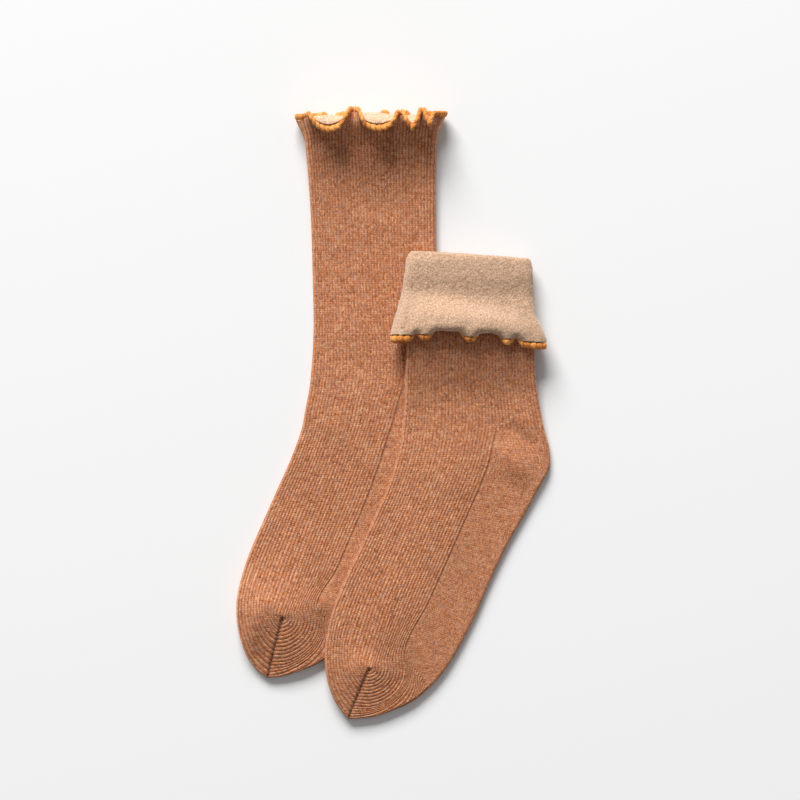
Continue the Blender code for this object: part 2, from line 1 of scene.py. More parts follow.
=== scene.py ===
"""The finish of a pair of rib-knit socks laid flat: ribbed and plain knit, brushed lining, overlocked hems.

Every piece is a tube surface worked out from the sock's tables, in millimetres, and becomes metres when its
mesh is made. A point of a sock has a place round the tube, from 0 to 6: 0 to 1 over the top panel from the
spine rib to the right edge, 1 to 2 round that edge, 2 to 4 back under, 4 to 5 round the left edge, and 5 to 6
over the top again to the spine. Along the sock it has a section number, counted from the mouth or the fold.
"""

from collections import namedtuple

import bpy
import numpy as np
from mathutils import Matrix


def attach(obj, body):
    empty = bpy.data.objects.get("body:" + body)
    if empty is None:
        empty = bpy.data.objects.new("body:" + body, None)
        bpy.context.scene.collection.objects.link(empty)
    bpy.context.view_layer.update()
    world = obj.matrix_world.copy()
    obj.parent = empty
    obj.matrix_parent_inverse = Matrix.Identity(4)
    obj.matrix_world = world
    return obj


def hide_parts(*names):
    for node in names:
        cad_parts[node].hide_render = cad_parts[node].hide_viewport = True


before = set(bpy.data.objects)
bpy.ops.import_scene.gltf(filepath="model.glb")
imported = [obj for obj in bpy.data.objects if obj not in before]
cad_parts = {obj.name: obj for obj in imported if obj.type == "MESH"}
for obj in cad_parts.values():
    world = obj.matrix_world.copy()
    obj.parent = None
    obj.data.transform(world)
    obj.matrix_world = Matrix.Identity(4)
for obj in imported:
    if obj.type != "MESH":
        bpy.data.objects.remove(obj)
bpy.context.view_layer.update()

MM = 0.001
ORIGIN = (0.0, -0.3)  # the middle of the pair's outline, which is the model's origin

# Cloth
WALL = 1.8  # knit with its brushed face, where the lining is not a layer of its own
KNIT = 1.0  # the outer knit alone
LINING = 1.0  # the brushed lining alone
GAP = 0.3  # between pieces, and between layers that lie on each other
HEM_GAP = 0.35  # from the ends of knit and lining to the bead
HALF_FLAT = WALL + GAP  # half the thickness of the flat tube
HALF_MOUTH = KNIT + GAP + LINING + GAP / 2  # the same where the lining is a layer of its own
KNIT_MID = HALF_MOUTH - KNIT / 2  # from the tube's middle to the middle of the outer knit
FOLD_RADIUS = (KNIT + GAP) / 2  # of the knit's middle, where the leg turns down

# Overlock bead, beyond the ends of knit and lining
HEM_WIDTH = 4.0
HEM_HALF = 1.25
HEM_DEPTH = -(GAP + LINING) / 2  # from the knit's middle to the middle of knit and lining

# The turned sock clears the long one, and comes down to the surface beyond its edge
DRAPE_HEIGHT = 2 * HALF_FLAT + GAP
DRAPE_FROM, DRAPE_TO = 4.0, 64.0  # how far beyond that edge it starts and ends coming down

Section = namedtuple("Section", "name left right border lead half", defaults=(None, 0, HALF_FLAT))
Fan = namedtuple("Fan", "name left border right")
Rim = namedtuple("Rim", "name root edge lean curl reach")
Course = namedtuple("Course", "fold rise fall settle roll length slant flare")
Spread = namedtuple("Spread", "length left right")
Height = namedtuple("Height", "y height")
Swell = namedtuple("Swell", "name x y along across angle height")
Crease = namedtuple("Crease", "name start end width height")
Ribs = namedtuple("Ribs", "name place number at_tip")

SPINE_SHARE = 0.38  # of the leg's width, from its left edge to the rib that runs into the toe's gore
BORDER_SHARE = 0.67  # to the last instep rib
LEFT_SHARE = 0.5  # where the column between spine and left edge runs, on the leg
LEFT_SHARES_TOE = (0.5, 0.46, 0.41, 0.36, 0.35, 0.34)  # and on the toe, down to the gore
HALF_TOES = (2.1, 1.95, 1.75, 1.6, 1.5, 1.5)  # half the toe's thickness, down to its tip

# The long sock from its mouth to its toe: left edge, right edge and last instep rib in plan, how far the
# spine rib runs ahead of the row, and half the tube's thickness. Where no instep rib is given, it keeps the
# leg's share. The toe's rows fan out round the gore's upper end, where the spine rib meets it.
LONG_SECTIONS = (
    Section("ruffle_root", (-56.5, 171.5), (28.0, 171.5), half=HALF_MOUTH),
    Section("lining_foot", (-55.1, 157.0), (27.7, 157.0), half=HALF_MOUTH),
    Section("leg_upper", (-53.5, 135.5), (27.5, 135.5)),
    Section("leg_middle", (-52.0, 90.0), (28.5, 90.0)),
    Section("leg_lower", (-51.5, 51.0), (32.5, 51.0)),
    Section("ankle", (-52.5, 32.0), (36.5, 33.5)),
    Section("heel_top", (-54.5, 14.0), (41.0, 18.0), (6.0, 16.5)),
    Section("heel_upper", (-56.5, 4.0), (44.5, 2.5), (3.0, 7.0)),
    Section("heel_tip", (-59.0, -9.5), (44.0, -9.0), (0.0, -5.0)),
    Section("heel_lower", (-62.5, -20.0), (39.0, -18.5), (-4.0, -17.0)),
    Section("arch", (-67.0, -31.5), (31.0, -33.0), (-9.0, -33.0)),
    Section("instep", (-75.5, -50.5), (17.5, -57.0), (-17.5, -56.0), 1),
    Section("mid_foot", (-85.0, -72.0), (4.5, -83.5), (-28.0, -81.0), 5),
    Section("ball", (-93.0, -90.5), (-4.5, -107.0), (-36.5, -100.5), 13),
)
LONG_GORE = (-71.0, -131.0)
LONG_TOE = (
    Fan("toe_start", (-98.0, -105.5), (-49.0, -124.0), (-32.5, -151.0)),
    Fan("toe_turn", (-101.5, -122.5), (-47.0, -136.1), (-41.0, -157.5)),
    Fan("toe_side", (-100.0, -142.0), (-51.1, -147.7), (-52.5, -164.0)),
    Fan("toe_low", (-95.0, -157.0), (-59.8, -156.1), (-64.5, -168.5)),
    Fan("toe_last", (-89.0, -165.5), (-69.5, -160.5), (-73.0, -170.8)),
    Fan("toe_tip", (-81.5, -171.5), (-78.8, -161.0), (-81.5, -171.5)),
)

# The turned sock, from the fold at the top of its cuff.
TURNED_SECTIONS = (
    Section("fold", (13.0, 102.8), (86.6, 98.4), half=HALF_MOUTH),
    Section("lining_foot", (12.4, 93.6), (87.3, 89.3), half=HALF_MOUTH),
    Section("in_cuff", (11.0, 73.0), (89.0, 69.3)),
    Section("under_hem", (9.0, 44.5), (91.5, 40.5)),
    Section("leg_lower", (8.0, 22.0), (92.5, 22.0)),
    Section("ankle", (7.5, 5.0), (95.0, 5.5)),
    Section("heel_top", (6.0, -10.5), (98.0, -9.5), (66.5, -10.5)),
    Section("heel_upper", (5.0, -20.0), (101.5, -23.5), (64.5, -20.0)),
    Section("heel_tip", (2.5, -29.5), (101.5, -35.0), (62.5, -30.0)),
    Section("heel_lower", (-0.5, -39.5), (96.0, -46.0), (58.5, -41.5)),
    Section("arch", (-4.5, -50.5), (88.5, -60.0), (53.5, -53.5)),
    Section("instep", (-12.5, -68.0), (75.0, -84.0), (43.0, -77.5), 1),
    Section("mid_foot", (-21.5, -87.5), (62.0, -111.0), (33.0, -100.0), 5),
    Section("ball", (-30.0, -105.0), (52.5, -133.0), (24.0, -120.0), 13),
)
TURNED_GORE = (-15.0, -164.0)
TURNED_TOE = (
    Fan("toe_start", (-41.5, -137.0), (7.5, -156.5), (22.0, -179.5)),
    Fan("toe_turn", (-44.0, -153.5), (8.6, -168.2), (11.5, -187.5)),
    Fan("toe_side", (-43.0, -170.0), (4.3, -179.1), (0.0, -192.5)),
    Fan("toe_low", (-38.5, -184.5), (-4.8, -186.8), (-11.5, -196.5)),
    Fan("toe_last", (-34.0, -192.0), (-15.0, -190.0), (-21.0, -197.8)),
    Fan("toe_tip", (-29.0, -198.0), (-25.5, -189.4), (-29.0, -198.0)),
)

# How the cloth runs on from the first section, in lengths along it: how much turns down in the fold, where it
# leans out and where it stops leaning, what share of the lean is left, where the hem rolls, its whole length,
# how much later the lean comes at the right edge than at the left, and where the ribs spread to their places
# at the hem.
LONG_COURSE = Course(
    fold=0.0,
    rise=(0.0, 6.0),
    fall=(13.0, 26.0),
    settle=-0.5,
    roll=(14.5, 24.5),
    length=30.0,
    slant=0.0,
    flare=(6.0, 28.0),
)
TURNED_COURSE = Course(
    fold=np.pi * FOLD_RADIUS,
    rise=(20.0, 31.0),
    fall=(36.0, 45.0),
    settle=0.0,
    roll=(48.5, 55.0),
    length=59.0,
    slant=11.0,
    flare=(36.0, 57.0),
)

# Left and right ends of the panels along that course.
LONG_SPREAD = (Spread(0, -54.05, 25.55), Spread(30, -54.05, 25.55))
TURNED_SPREAD = (
    Spread(0, 15.45, 84.15),
    Spread(5.5, 13.6, 85.2),
    Spread(17, 12.2, 86.0),
    Spread(33, 10.4, 87.0),
    Spread(47.5, 9.6, 88.6),
    Spread(59, 9.0, 89.4),
)

# The waves of each hem, for the top panel and the one beneath: where a rib stands at the course's start and
# where it ends at the hem, both along X; how far it leans out and how far it rolls over, in degrees; and what
# share of its length it reaches along the sock.
LONG_FRONT = (
    Rim("left_lobe", -54.0, -57.0, 8, 18, 0.72),
    Rim("left_peak", -52.4, -55.8, 18, 22, 0.78),
    Rim("dip_1_in", -50.4, -53.4, 20, 74, 0.84),
    Rim("dip_1_left", -46.8, -49.4, 20, 150, 1.08),
    Rim("dip_1", -40.4, -41.4, 20, 180, 1.14),
    Rim("dip_1_right", -34.6, -33.2, 20, 152, 1.08),
    Rim("dip_1_out", -31.2, -29.6, 22, 74, 0.84),
    Rim("peak_1", -26.0, -25.2, 25, -14, 0.95),
    Rim("dip_2_in", -20.8, -20.8, 22, 74, 0.84),
    Rim("dip_2_left", -17.4, -18.2, 20, 150, 1.08),
    Rim("dip_2", -9.0, -9.2, 20, 176, 1.14),
    Rim("dip_2_right", -1.6, -0.8, 20, 148, 1.08),
    Rim("dip_2_out", 1.2, 2.2, 22, 70, 0.80),
    Rim("peak_2", 4.0, 4.8, 23, -6, 0.84),
    Rim("dip_3_in", 6.6, 7.2, 20, 74, 0.82),
    Rim("dip_3_left", 8.6, 9.4, 18, 132, 0.95),
    Rim("dip_3", 11.0, 12.2, 18, 160, 1.0),
    Rim("dip_3_right", 13.4, 15.0, 18, 132, 0.95),
    Rim("dip_3_out", 15.4, 17.0, 20, 70, 0.82),
    Rim("peak_3", 17.6, 19.0, 24, -10, 0.91),
    Rim("dip_4_in", 19.6, 20.6, 20, 66, 0.82),
    Rim("dip_4", 22.2, 23.6, 18, 140, 0.96),
    Rim("dip_4_out", 24.2, 25.6, 14, 80, 0.84),
    Rim("right_lobe", 25.5, 26.8, 8, 34, 0.80),
)
LONG_BACK = (
    Rim("left_lobe", -54.0, -57.0, 6, 14, 0.72),
    Rim("peak_1", -45.6, -45.8, -16, 34, 0.84),
    Rim("roll_1", -40.0, -40.0, -22, 112, 1.08),
    Rim("peak_2", -34.4, -34.2, -16, 34, 0.84),
    Rim("between_1", -27.0, -27.0, -2, 10, 0.80),
    Rim("roll_2", -17.0, -16.5, -20, 106, 1.12),
    Rim("roll_2_right", -9.8, -9.8, -22, 112, 1.14),
    Rim("peak_3", -5.2, -5.2, -18, 34, 0.90),
    Rim("roll_3", -1.0, -0.8, -18, 100, 1.08),
    Rim("between_2", 6.0, 6.0, -2, 8, 0.80),
    Rim("roll_4", 12.5, 12.8, -16, 90, 1.02),
    Rim("right_lobe", 25.5, 26.8, 6, 20, 0.80),
)
TURNED_FRONT = (
    Rim("left_lobe", 15.5, 5.6, 18, 6, 1.0),
    Rim("left_tongue", 20.2, 10.0, 23, 14, 1.0),
    Rim("dip_1", 24.4, 14.6, 30, 92, 1.0),
    Rim("tongue_1", 28.8, 20.6, 34, 26, 1.0),
    Rim("dip_2_left", 33.8, 27.6, 40, 132, 1.0),
    Rim("dip_2", 40.6, 36.0, 44, 160, 1.02),
    Rim("dip_2_right", 46.2, 42.4, 41, 134, 1.0),
    Rim("tongue_2", 51.0, 49.6, 37, 26, 1.0),
    Rim("dip_3_left", 56.0, 56.4, 41, 132, 1.0),
    Rim("dip_3", 60.6, 62.6, 43, 152, 1.0),
    Rim("dip_3_right", 65.2, 67.6, 39, 128, 1.0),
    Rim("tongue_3", 70.0, 73.4, 36, 26, 1.0),
    Rim("dip_4", 75.0, 79.2, 34, 104, 1.0),
    Rim("tongue_4", 79.8, 85.6, 22, 18, 1.0),
    Rim("right_lobe", 84.1, 94.4, 8, 8, 1.0),
)
TURNED_BACK = (
    Rim("left_lobe", 15.5, 5.6, 0, -2, 1.0),
    Rim("dip_1", 28.0, 21.5, 0, -5, 1.0),
    Rim("tongue_1", 40.0, 36.0, 0, 0, 1.0),
    Rim("dip_2", 50.0, 50.0, 0, -5, 1.0),
    Rim("tongue_2", 60.0, 62.5, 0, 0, 1.0),
    Rim("dip_3", 72.0, 76.0, 0, -5, 1.0),
    Rim("right_lobe", 84.1, 92.4, 0, -3, 1.0),
)

# How high the middle of each tube is carried above its place on the surface.
LONG_LIFT = (Height(60, 0), Height(110, 0.8), Height(150, 2.1), Height(171.5, 3.7), Height(200, 4.4))
TURNED_LIFT = (
    Height(-16, 0),
    Height(8, 1.0),
    Height(46, 6.0),
    Height(73, 4.0),
    Height(90, 6.1),
    Height(97, 5.8),
    Height(105, 3.8),
)

# Soft swellings of the upper panel, each a bell with its own length, width and direction.
LONG_SWELLS = (
    Swell("mouth", -14.0, 182.0, 48.0, 24.0, 0, 4.0),
    Swell("foot", -68.0, -114.0, 60.0, 34.0, 0, 2.6),
    Swell("toe", -79.0, -127.5, 25.0, 17.0, 162, 8.0),
    Swell("toe_end", -76.0, -150.0, 24.0, 16.0, 162, 4.6),
    Swell("toe_ridge", -91.0, -140.0, 22.0, 7.0, 70, 1.4),
    Swell("toe_right", -46.0, -124.0, 8.0, 7.0, 0, 1.4),
)
TURNED_SWELLS = (
    Swell("toe", -17.0, -165.0, 14.0, 9.0, 165, 3.2),
    Swell("toe_end", -16.0, -177.0, 16.0, 12.0, 160, 2.0),
    Swell("foot", -6.0, -146.0, 46.0, 30.0, 66, 1.8),
    Swell("under_cuff", 42.0, 50.0, 50.0, 25.0, 0, 4.6),
    Swell("heel", 79.0, -32.0, 16.0, 9.0, -42, 3.2),
    Swell("heel_top", 88.0, -5.0, 11.0, 6.0, -40, 1.3),
)

# Creases of the upper panel: soft ridges from start to end, or troughs where the height is negative.
LONG_CREASES = (
    Crease("upper_leg", (-20.0, 118.0), (22.0, 126.0), 7.0, 0.35),
    Crease("lower_leg", (-44.0, 40.0), (6.0, 22.0), 9.0, -0.5),
    Crease("instep", (-56.0, -2.0), (-20.0, -22.0), 6.0, 0.4),
    Crease("heel_gore", (4.0, 8.0), (38.0, -6.0), 2.5, 0.5),
)
TURNED_CREASES = (
    Crease("instep_bend_1", (9.0, 1.0), (21.0, 3.5), 1.8, -0.5),
    Crease("instep_bend_2", (9.5, -5.5), (20.0, -4.0), 1.6, -0.45),
    Crease("instep_bend_3", (8.0, -14.0), (19.0, -10.5), 2.0, -0.4),
    Crease("heel_gore", (74.5, -7.5), (94.0, -24.0), 3.0, -1.1),
)
CREASE_FADE = (-0.15, 0.3)  # shares of a crease, from each end, over which it fades in

# The least height of the knit's middle where the hem comes to rest, so that its bead clears what is beneath:
# over the surface, and beyond KNIT_MID over the turned sock's own leg.
HEM_CLEAR = HEM_HALF - HEM_DEPTH + 1.5 * GAP
LEG_CLEAR = HALF_FLAT - KNIT_MID + HEM_CLEAR
SURFACE_EASE, LEG_EASE = 0.5, 1.3  # how gently it comes to rest there

# The one-by-one ribs: how many lie between the spine and these places round the tube, on the leg and foot and
# at the toe's tip, before which some of them run off over the right edge.
RIBS = (
    Ribs("spine", 0, 0, 0),
    Ribs("last_instep", 0.5, 12, 12),
    Ribs("right_edge", 1, 24.5, 16),
    Ribs("right_edge_under", 2, 27.5, 19),
    Ribs("last_instep_under", 2.5, 40, 36),
    Ribs("spine_under", 3, 52, 52),
    Ribs("left_edge_under", 4, 67, 67),
    Ribs("left_edge", 5, 70, 70),
    Ribs("spine_again", 6, 85, 85),
)
RIB_COUNT = RIBS[-1].number
UPPER_BORDER, UNDER_BORDER = (ribs.number for ribs in RIBS if ribs.name.startswith("last_instep"))
RIB_STEPS = (0.0, 0.22, 0.5, 0.78)  # columns of the surface in each rib, from its groove
RIB_PITCH = 2.0
RIB_DEPTH = 0.52
RIB_HIGH = 0.18  # of the rib's crest above the wall's own face
GROOVE_SHARE = 0.3  # of a rib, from the groove's middle to the crest
CROWDED_SHARE = 0.3  # of its depth that a rib keeps where the ribs crowd
COURSE_HEIGHT = 1.45  # of a stitch along the rib
# How deep the ribs stand, as a share, at these section numbers.
RIB_SHARES = ((0, 0.9), (2, 0.42), (4, 0.24), (7, 0.42), (11, 0.75), (14, 0.85), (19, 0.9))
EDGE_RIBS = 0.72  # how far across the panel its ribs start to deepen towards the edge
EDGE_DEEPER = 0.4  # how far they come there to their full depth

# Toe, with the groove along its gore
TOE_START = len(LONG_SECTIONS)  # the section number where the toe begins
TOE_END = TOE_START + len(LONG_TOE) - 1
TOE_LIP = 1.1  # how deep the toe's two halves turn in at the gore
GORE_WIDTH = 2.2
GORE_DEPTH = 1.0
GORE_LINE = 0.2  # half the width of its darkest painted shade
GORE_REACH = 0.985  # how far across the panels it runs

# Plain knit: heel and sole, between these sections and the last instep rib of the upper and under panels.
PLAIN_FROM, PLAIN_TO = 6.0, TOE_START
PLAIN_EASE = 0.08  # of a section
PLAIN_RIB_EASE = 0.3  # of a rib
PLAIN_HIGH = 0.1  # of its face above the wall's own
BORDER_DEPTH = 0.8  # of the groove at its border
BORDER_WIDTH = 0.45  # from that groove's middle to the plain face, in ribs
BORDER_LINE = (0.1, 0.5)  # where the painted shade along its groove starts and ends fading, in ribs
BORDER_DARK = 0.5  # how dark that painted shade is beside the gore's

# Steps of the surfaces
ROW_STEP = 2.2  # along the sock
MOUTH_STEP = 0.9  # along the waved knit
MOUTH_STEP_INSIDE = 3 * MOUTH_STEP
INNER_STEP = 14.0  # along the hidden inside
WALL_SECTIONS = (1.0, 1.4)  # between which the wall takes up the lining's thickness
LINING_SECTIONS = (0.02, 0.97)  # between which the lining lies below the mouth
NAP_STEP = 0.5  # of the brushed face's surface
NAP_STEP_HIDDEN = 6 * NAP_STEP  # along its face towards the knit
FOOT_STEP, FOOT_STEP_HIDDEN = 2 * NAP_STEP, 20 * NAP_STEP  # both below the mouth
NAP = ((1.1, 0.16), (2.6, 0.14), (14.0, 0.25))  # sizes and heights of the nap's unevenness

# Overlock stitches along the hem
STITCH_PITCH = 3.9
STITCH_STEPS = 9
STITCH_SIDES = 16
STITCH_SWELL = 0.26  # how much thinner the bead is between stitches
STITCH_CROWN = 1.5  # how much it swells again over each, in that measure
STITCH_FULL = 0.45  # the power that makes a stitch full between its ends
STITCH_SLANT = 0.3
STITCH_UNEVEN = 0.08
STITCH_CELLS = 1.7  # of that unevenness to a stitch
STITCH_SEED = 7

# Sums and samples
COURSE_STEP = 0.25  # of the sums along a rib's course
STEPS_BEFORE = 2  # of those sums before the first row, for the normals there
PLACE_STEP = 0.01  # round the tube, for its normals
ROW_SAMPLES, LINING_SAMPLES, HEM_SAMPLES = 2001, 2401, 6001  # along the sock, round the lining and the hem
LEAST_GAP = 0.001
TINY = 1e-9
LATTICE_PRIMES = (73856093, 19349663, 83492791)
SEED_PRIME = 2654435761
MIXING_PRIME = 1274126177

# Fibres of each cloth: how fine they are, as a noise scale, and their dark, base and light shades.
Fibres = namedtuple("Fibres", "scale dark base light")
RUST = Fibres(1500.0, (0.33, 0.103, 0.042, 1.0), (0.71, 0.24, 0.092, 1.0), (0.92, 0.5, 0.28, 1.0))
CREAM = Fibres(2200.0, (0.31, 0.172, 0.098, 1.0), (0.53, 0.33, 0.21, 1.0), (0.76, 0.55, 0.39, 1.0))
MUSTARD = Fibres(1400.0, (0.58, 0.17, 0.028, 1.0), (0.88, 0.32, 0.062, 1.0), (0.98, 0.5, 0.15, 1.0))
COARSER = 0.37  # the scale of their coarse specks beside the fine ones
SPECK_WEIGHTS = (2.2, 0.4)  # of fine and coarse specks
SPECK_MEAN = 1.3  # of their sum
DARK_RANGE, LIGHT_RANGE = (0.08, 0.5), (0.55, 0.98)  # where dark turns into base, and base into light

# Finish of each cloth: roughness, sheen and its tint, and the strength and depth of its bump in metres.
Finish = namedtuple("Finish", "roughness sheen tint bump depth")
KNIT_FINISH = Finish(0.95, 0.5, (1.0, 0.66, 0.42, 1.0), 0.7, 0.00025)
FLEECE_FINISH = Finish(1.0, 0.5, (1.0, 0.93, 0.84, 1.0), 0.8, 0.0004)
THREAD_FINISH = Finish(0.85, 0.25, (1.0, 0.8, 0.5, 1.0), 0.8, 0.0004)
CLOTH_SPECULAR = 0.2
SHEEN_ROUGHNESS = 0.55
NOISE_RANGE = (0.3, 0.7)  # where most of a noise lies

# Stitches of the knit. Spread and slant have a value for ribs, then one for plain knit.
LEG_SPREAD = (3.1, 2.0)  # legs to a column's width, so that a rib's pair leaves its groove free
LEG_SLANT = (0.12, 0.5)  # how far a leg runs along the sock over its own width, in courses
LEG_ENDS = (-1.0, 0.2)  # the cosine along a leg over which it rises from its end
LEG_ROUND = 0.6  # the power that rounds it across
LEG_LOW = 0.2  # its height at its end
LEG_GROOVE = 0.55  # the height below which the knit material paints shade on it

# Shades of the knit: what makes its fibres lighter, and then what darkens them, as shares of their colour.
# The darkening of rib grooves, of the gaps between legs and of the gore is painted shade.
LEG_SHADE, STREAK_SHADE, LEAST_SHADE = 0.54, 0.22, 0.12  # by leg, by stretch of a course, and everywhere
STREAK_RIBS, STREAK_COURSES = 0.3, 5.37  # steps of the streaks' noise for each rib and course
VALLEY_RANGE = (0.03, 0.27)  # of a rib, from its groove's middle, over which the painted shade fades
VALLEY_DARK = (0.05, 0.16)  # painted shade in the groove, where the ribs are faint and where they are full
RIBBED_RANGE = (0.3, 1.0)  # from faint to full
GROOVE_DARK, GORE_DARK, PLAIN_DARK = 0.28, 0.35, 0.06  # painted shade in gaps between legs and in the gore, and how much darker plain knit is
MOST_DARK = 0.8
CLOUD_SCALE, CLOUDS = 38.0, (0.92, 1.0)  # large soft changes of shade
GREYED = (0.56, 0.305, 0.22, 1.0)  # the colour that some legs take up
GREY_SEED, GREY_SCALE, GREY_RANGE, GREY_SHARE = 7.0, 700.0, (0.9, 1.4), 0.5
FUZZ_SCALE, FUZZ_HEIGHT = 2600.0, 0.2  # of the yarn's and the thread's fine bumps

# Fleece: its tufts' shades and its nap's fine bumps
PAINTED_LIGHT_BRIGHTNESS, BASE_BRIGHTNESS = 1.3, 1.0  # how much lighter each fleece's colour is: sock A's as painted light on its rolled mouth, which faces the lamp, and sock B's as it is
TUFT_SCALE, TUFT_RANGE, TUFT_SHADES = 1000.0, (0.25, 0.75), (0.2, 0.8)
NAP_SCALE, NAP_DETAIL, NAP_ROUGHNESS = 900.0, 3.0, 0.6
HAIR_SCALE, HAIR_HEIGHT = 3200.0, 0.4

# Thread: strands to a stitch, and painted shade in the gap between stitches
STRANDS, STRAND_HEIGHT = 4, 0.6
THREAD_GAP, THREAD_GAP_DARK = 0.45, 0.5
THREAD_SHADES = (0.25, 0.75)

# Studio, in metres, with the sensor in millimetres and the lamp in watts
CAMERA_HEIGHT = 1.8
CAMERA_REACH = 20.0
FRAME_WIDTH = 0.52  # of the view on the surface
VIEW_MIDDLE = (0.00455, 0.00908)
SENSOR = 36.0
FLOOR_SIZE = 6.0
FLOOR_DROP = 0.0002
FLOOR_COLOUR = (0.88, 0.88, 0.88, 1.0)
FLOOR_ROUGHNESS, FLOOR_SPECULAR = 0.9, 0.1
LAMP_PLACE = (-1.9, 6.9, 4.0)
LAMP_SIZE = (5.0, 3.2)
LAMP_POWER = 1120.0
AIR_COLOUR = (1.0, 1.0, 1.0, 1.0)
AIR_LIGHT = 0.27


def ramp(x, low, high):
    """0 below low, 1 above high, and a smooth S between them."""
    t = np.clip((np.asarray(x, float) - low) / (high - low), 0, 1)
    return t * t * (3 - 2 * t)


def cubic(t, first, second, leaving, arriving):
    """The cubic from the first value to the second as t goes from 0 to 1, with these slopes at both ends."""
    ends = (2 * t**3 - 3 * t**2 + 1) * first + (3 * t**2 - 2 * t**3) * second
    return ends + (t**3 - 2 * t**2 + t) * leaving + (t**3 - t**2) * arriving


def through(x, known, values):
    """A smooth curve through known values that is level at each peak and dip, so it never overshoots."""
    known, values = np.asarray(known, float), np.asarray(values, float)
    gap = np.diff(known)
    slope = np.diff(values) / gap
    product, total = slope[1:] * slope[:-1], slope[1:] + slope[:-1]
    inner = np.where(product > 0, 2 * product / np.where(product > 0, total, 1), 0)
    tangent = np.concatenate([[0], inner, [0]])
    i = np.clip(np.searchsorted(known, x, side="right") - 1, 0, len(gap) - 1)
    t = np.clip((x - known[i]) / gap[i], 0, 1)
    return cubic(t, values[i], values[i + 1], gap[i] * tangent[i], gap[i] * tangent[i + 1])


def lift_at(y, heights):
    """How high the tube's middle is carried at places along the sock."""
    return through(y, [h.y for h in heights], [h.height for h in heights])


# --- The flat outline


def section_rows(sections, gore, fans):
    """A row of four plan points for each section and fan: left edge, spine, last instep rib, right edge."""
    rows = []
    for section in sections:
        left, right = np.array(section.left), np.array(section.right)
        border = left + BORDER_SHARE * (right - left) if section.border is None else np.array(section.border)
        across = border - left
        ahead = np.array([across[1], -across[0]]) / np.hypot(*across)
        spine = left + SPINE_SHARE / BORDER_SHARE * across + section.lead * ahead
        rows.append((left, spine, border, right))
    for fan in fans:
        rows.append((fan.left, gore, fan.border, fan.right))
    return np.array(rows, float)


def outside(points, polygon):
    """Distance of plan points from a closed outline, negative inside it."""
    ends = np.roll(polygon, -1, axis=0)
    edge = ends - polygon
    away = points[:, None] - polygon
    share = np.clip((away * edge).sum(2) / np.maximum((edge**2).sum(1), TINY), 0, 1)
    distance = np.linalg.norm(away - share[..., None] * edge, axis=2).min(1)
    spans = (polygon[:, 1] > points[:, None, 1]) != (ends[:, 1] > points[:, None, 1])
    rise = np.where(edge[:, 1] == 0, 1, edge[:, 1])
    crossing = polygon[:, 0] + away[..., 1] / rise * edge[:, 0]
    inside = (spans & (points[:, None, 0] < crossing)).sum(1) % 2 == 1
    return np.where(inside, -distance, distance)


def over_long_sock(rows):
    """The drape of the turned sock: raised over the long one, and down to the surface beyond its edge."""
    outline = np.concatenate([rows[:, 0], rows[::-1, 3]])

    def drape(plan):
        away = outside(plan.reshape(-1, 2), outline).reshape(plan.shape[:-1])
        return DRAPE_HEIGHT * (1 - ramp(away, DRAPE_FROM, DRAPE_TO))

    return drape


def flat_on_surface(plan):
    """The drape of the long sock, which has nothing under it."""
    return np.zeros(plan.shape[:-1])


# --- The tube


def around(places):
    """For places round the tube, how far across they are, from -1 left to 1 right, and the outward angle."""
    places = places % 6
    turns = [0, 1, 2, 4, 5, 6]
    across = np.interp(places, turns, [0, 1, 1, -1, -1, 0])
    angle = np.radians(np.interp(places, turns, [0, 0, 180, 180, 360, 360]))
    return across, angle


def between_nodes(nodes, across):
    """Points of each row at distances across it, straight from node to node."""
    at = (np.broadcast_to(across, (len(nodes), across.shape[-1])) + 1) * 2
    first = np.clip(at.astype(int), 0, 3)
    share = (at - first)[..., None]
    row = np.arange(len(nodes))[:, None]
    return nodes[row, first] * (1 - share) + nodes[row, first + 1] * share


def swell_at(plan, swells):
    """Height of the swellings over plan points."""
    height = np.zeros(plan.shape[:-1])
    for s in swells:
        off_x, off_y = plan[..., 0] - s.x, plan[..., 1] - s.y
        cosine, sine = np.cos(np.radians(s.angle)), np.sin(np.radians(s.angle))
        along, across = off_x * cosine + off_y * sine, off_y * cosine - off_x * sine
        height += s.height * np.exp(-((along / s.along) ** 2) - (across / s.across) ** 2)
    return height


# --- The mouth: ribs that run on from the first row, over the fold and through the waves


def wave_at(sock, x, outward):
    """Where ribs that start at x end, their lean, roll and reach, mixed from both panels at the edges."""

    def read(rims):
        known = [r.root for r in rims]
        columns = zip(*((r.edge, r.lean, r.curl, r.reach) for r in rims))
        return np.array([through(x, known, column) for column in columns])

    top = (outward + 1) / 2
    return top * read(sock.front) + (1 - top) * read(sock.back)


def run_of_rib(course, lengths, lean, curl, share):
    """Along the sock and out of it after each length, from sums of the cosine and sine of the angle of
    travel: a half turn through the fold, then the lean, which is outwards with a fold or without, then the
    roll."""
    later = course.slant * share
    fine = np.arange(-STEPS_BEFORE, course.length / COURSE_STEP + STEPS_BEFORE + 1)[:, None] * COURSE_STEP
    fold = np.clip(fine / course.fold, 0, 1) * 180 if course.fold else 0 * fine
    leaning = ramp(fine - later, *course.rise) - (1 - course.settle) * ramp(fine - later / 2, *course.fall)
    rolling = np.clip((fine - course.roll[0]) / (course.roll[1] - course.roll[0]), 0, 1)
    angle = np.radians(fold + (-1 if course.fold else 1) * lean * leaning + curl * rolling)
    halfway = (angle[1:] + angle[:-1]) / 2

    def total(step):
        sums = np.concatenate([np.zeros((1, angle.shape[1])), np.cumsum(step, axis=0)]) * COURSE_STEP
        sums -= sums[STEPS_BEFORE]
        at = lengths / COURSE_STEP + STEPS_BEFORE
        first = np.clip(at.astype(int), 0, len(fine) - 2)
        part = (at - first)[:, None]
        return sums[first] * (1 - part) + sums[first + 1] * part

    return total(np.cos(halfway)), total(np.sin(halfway))


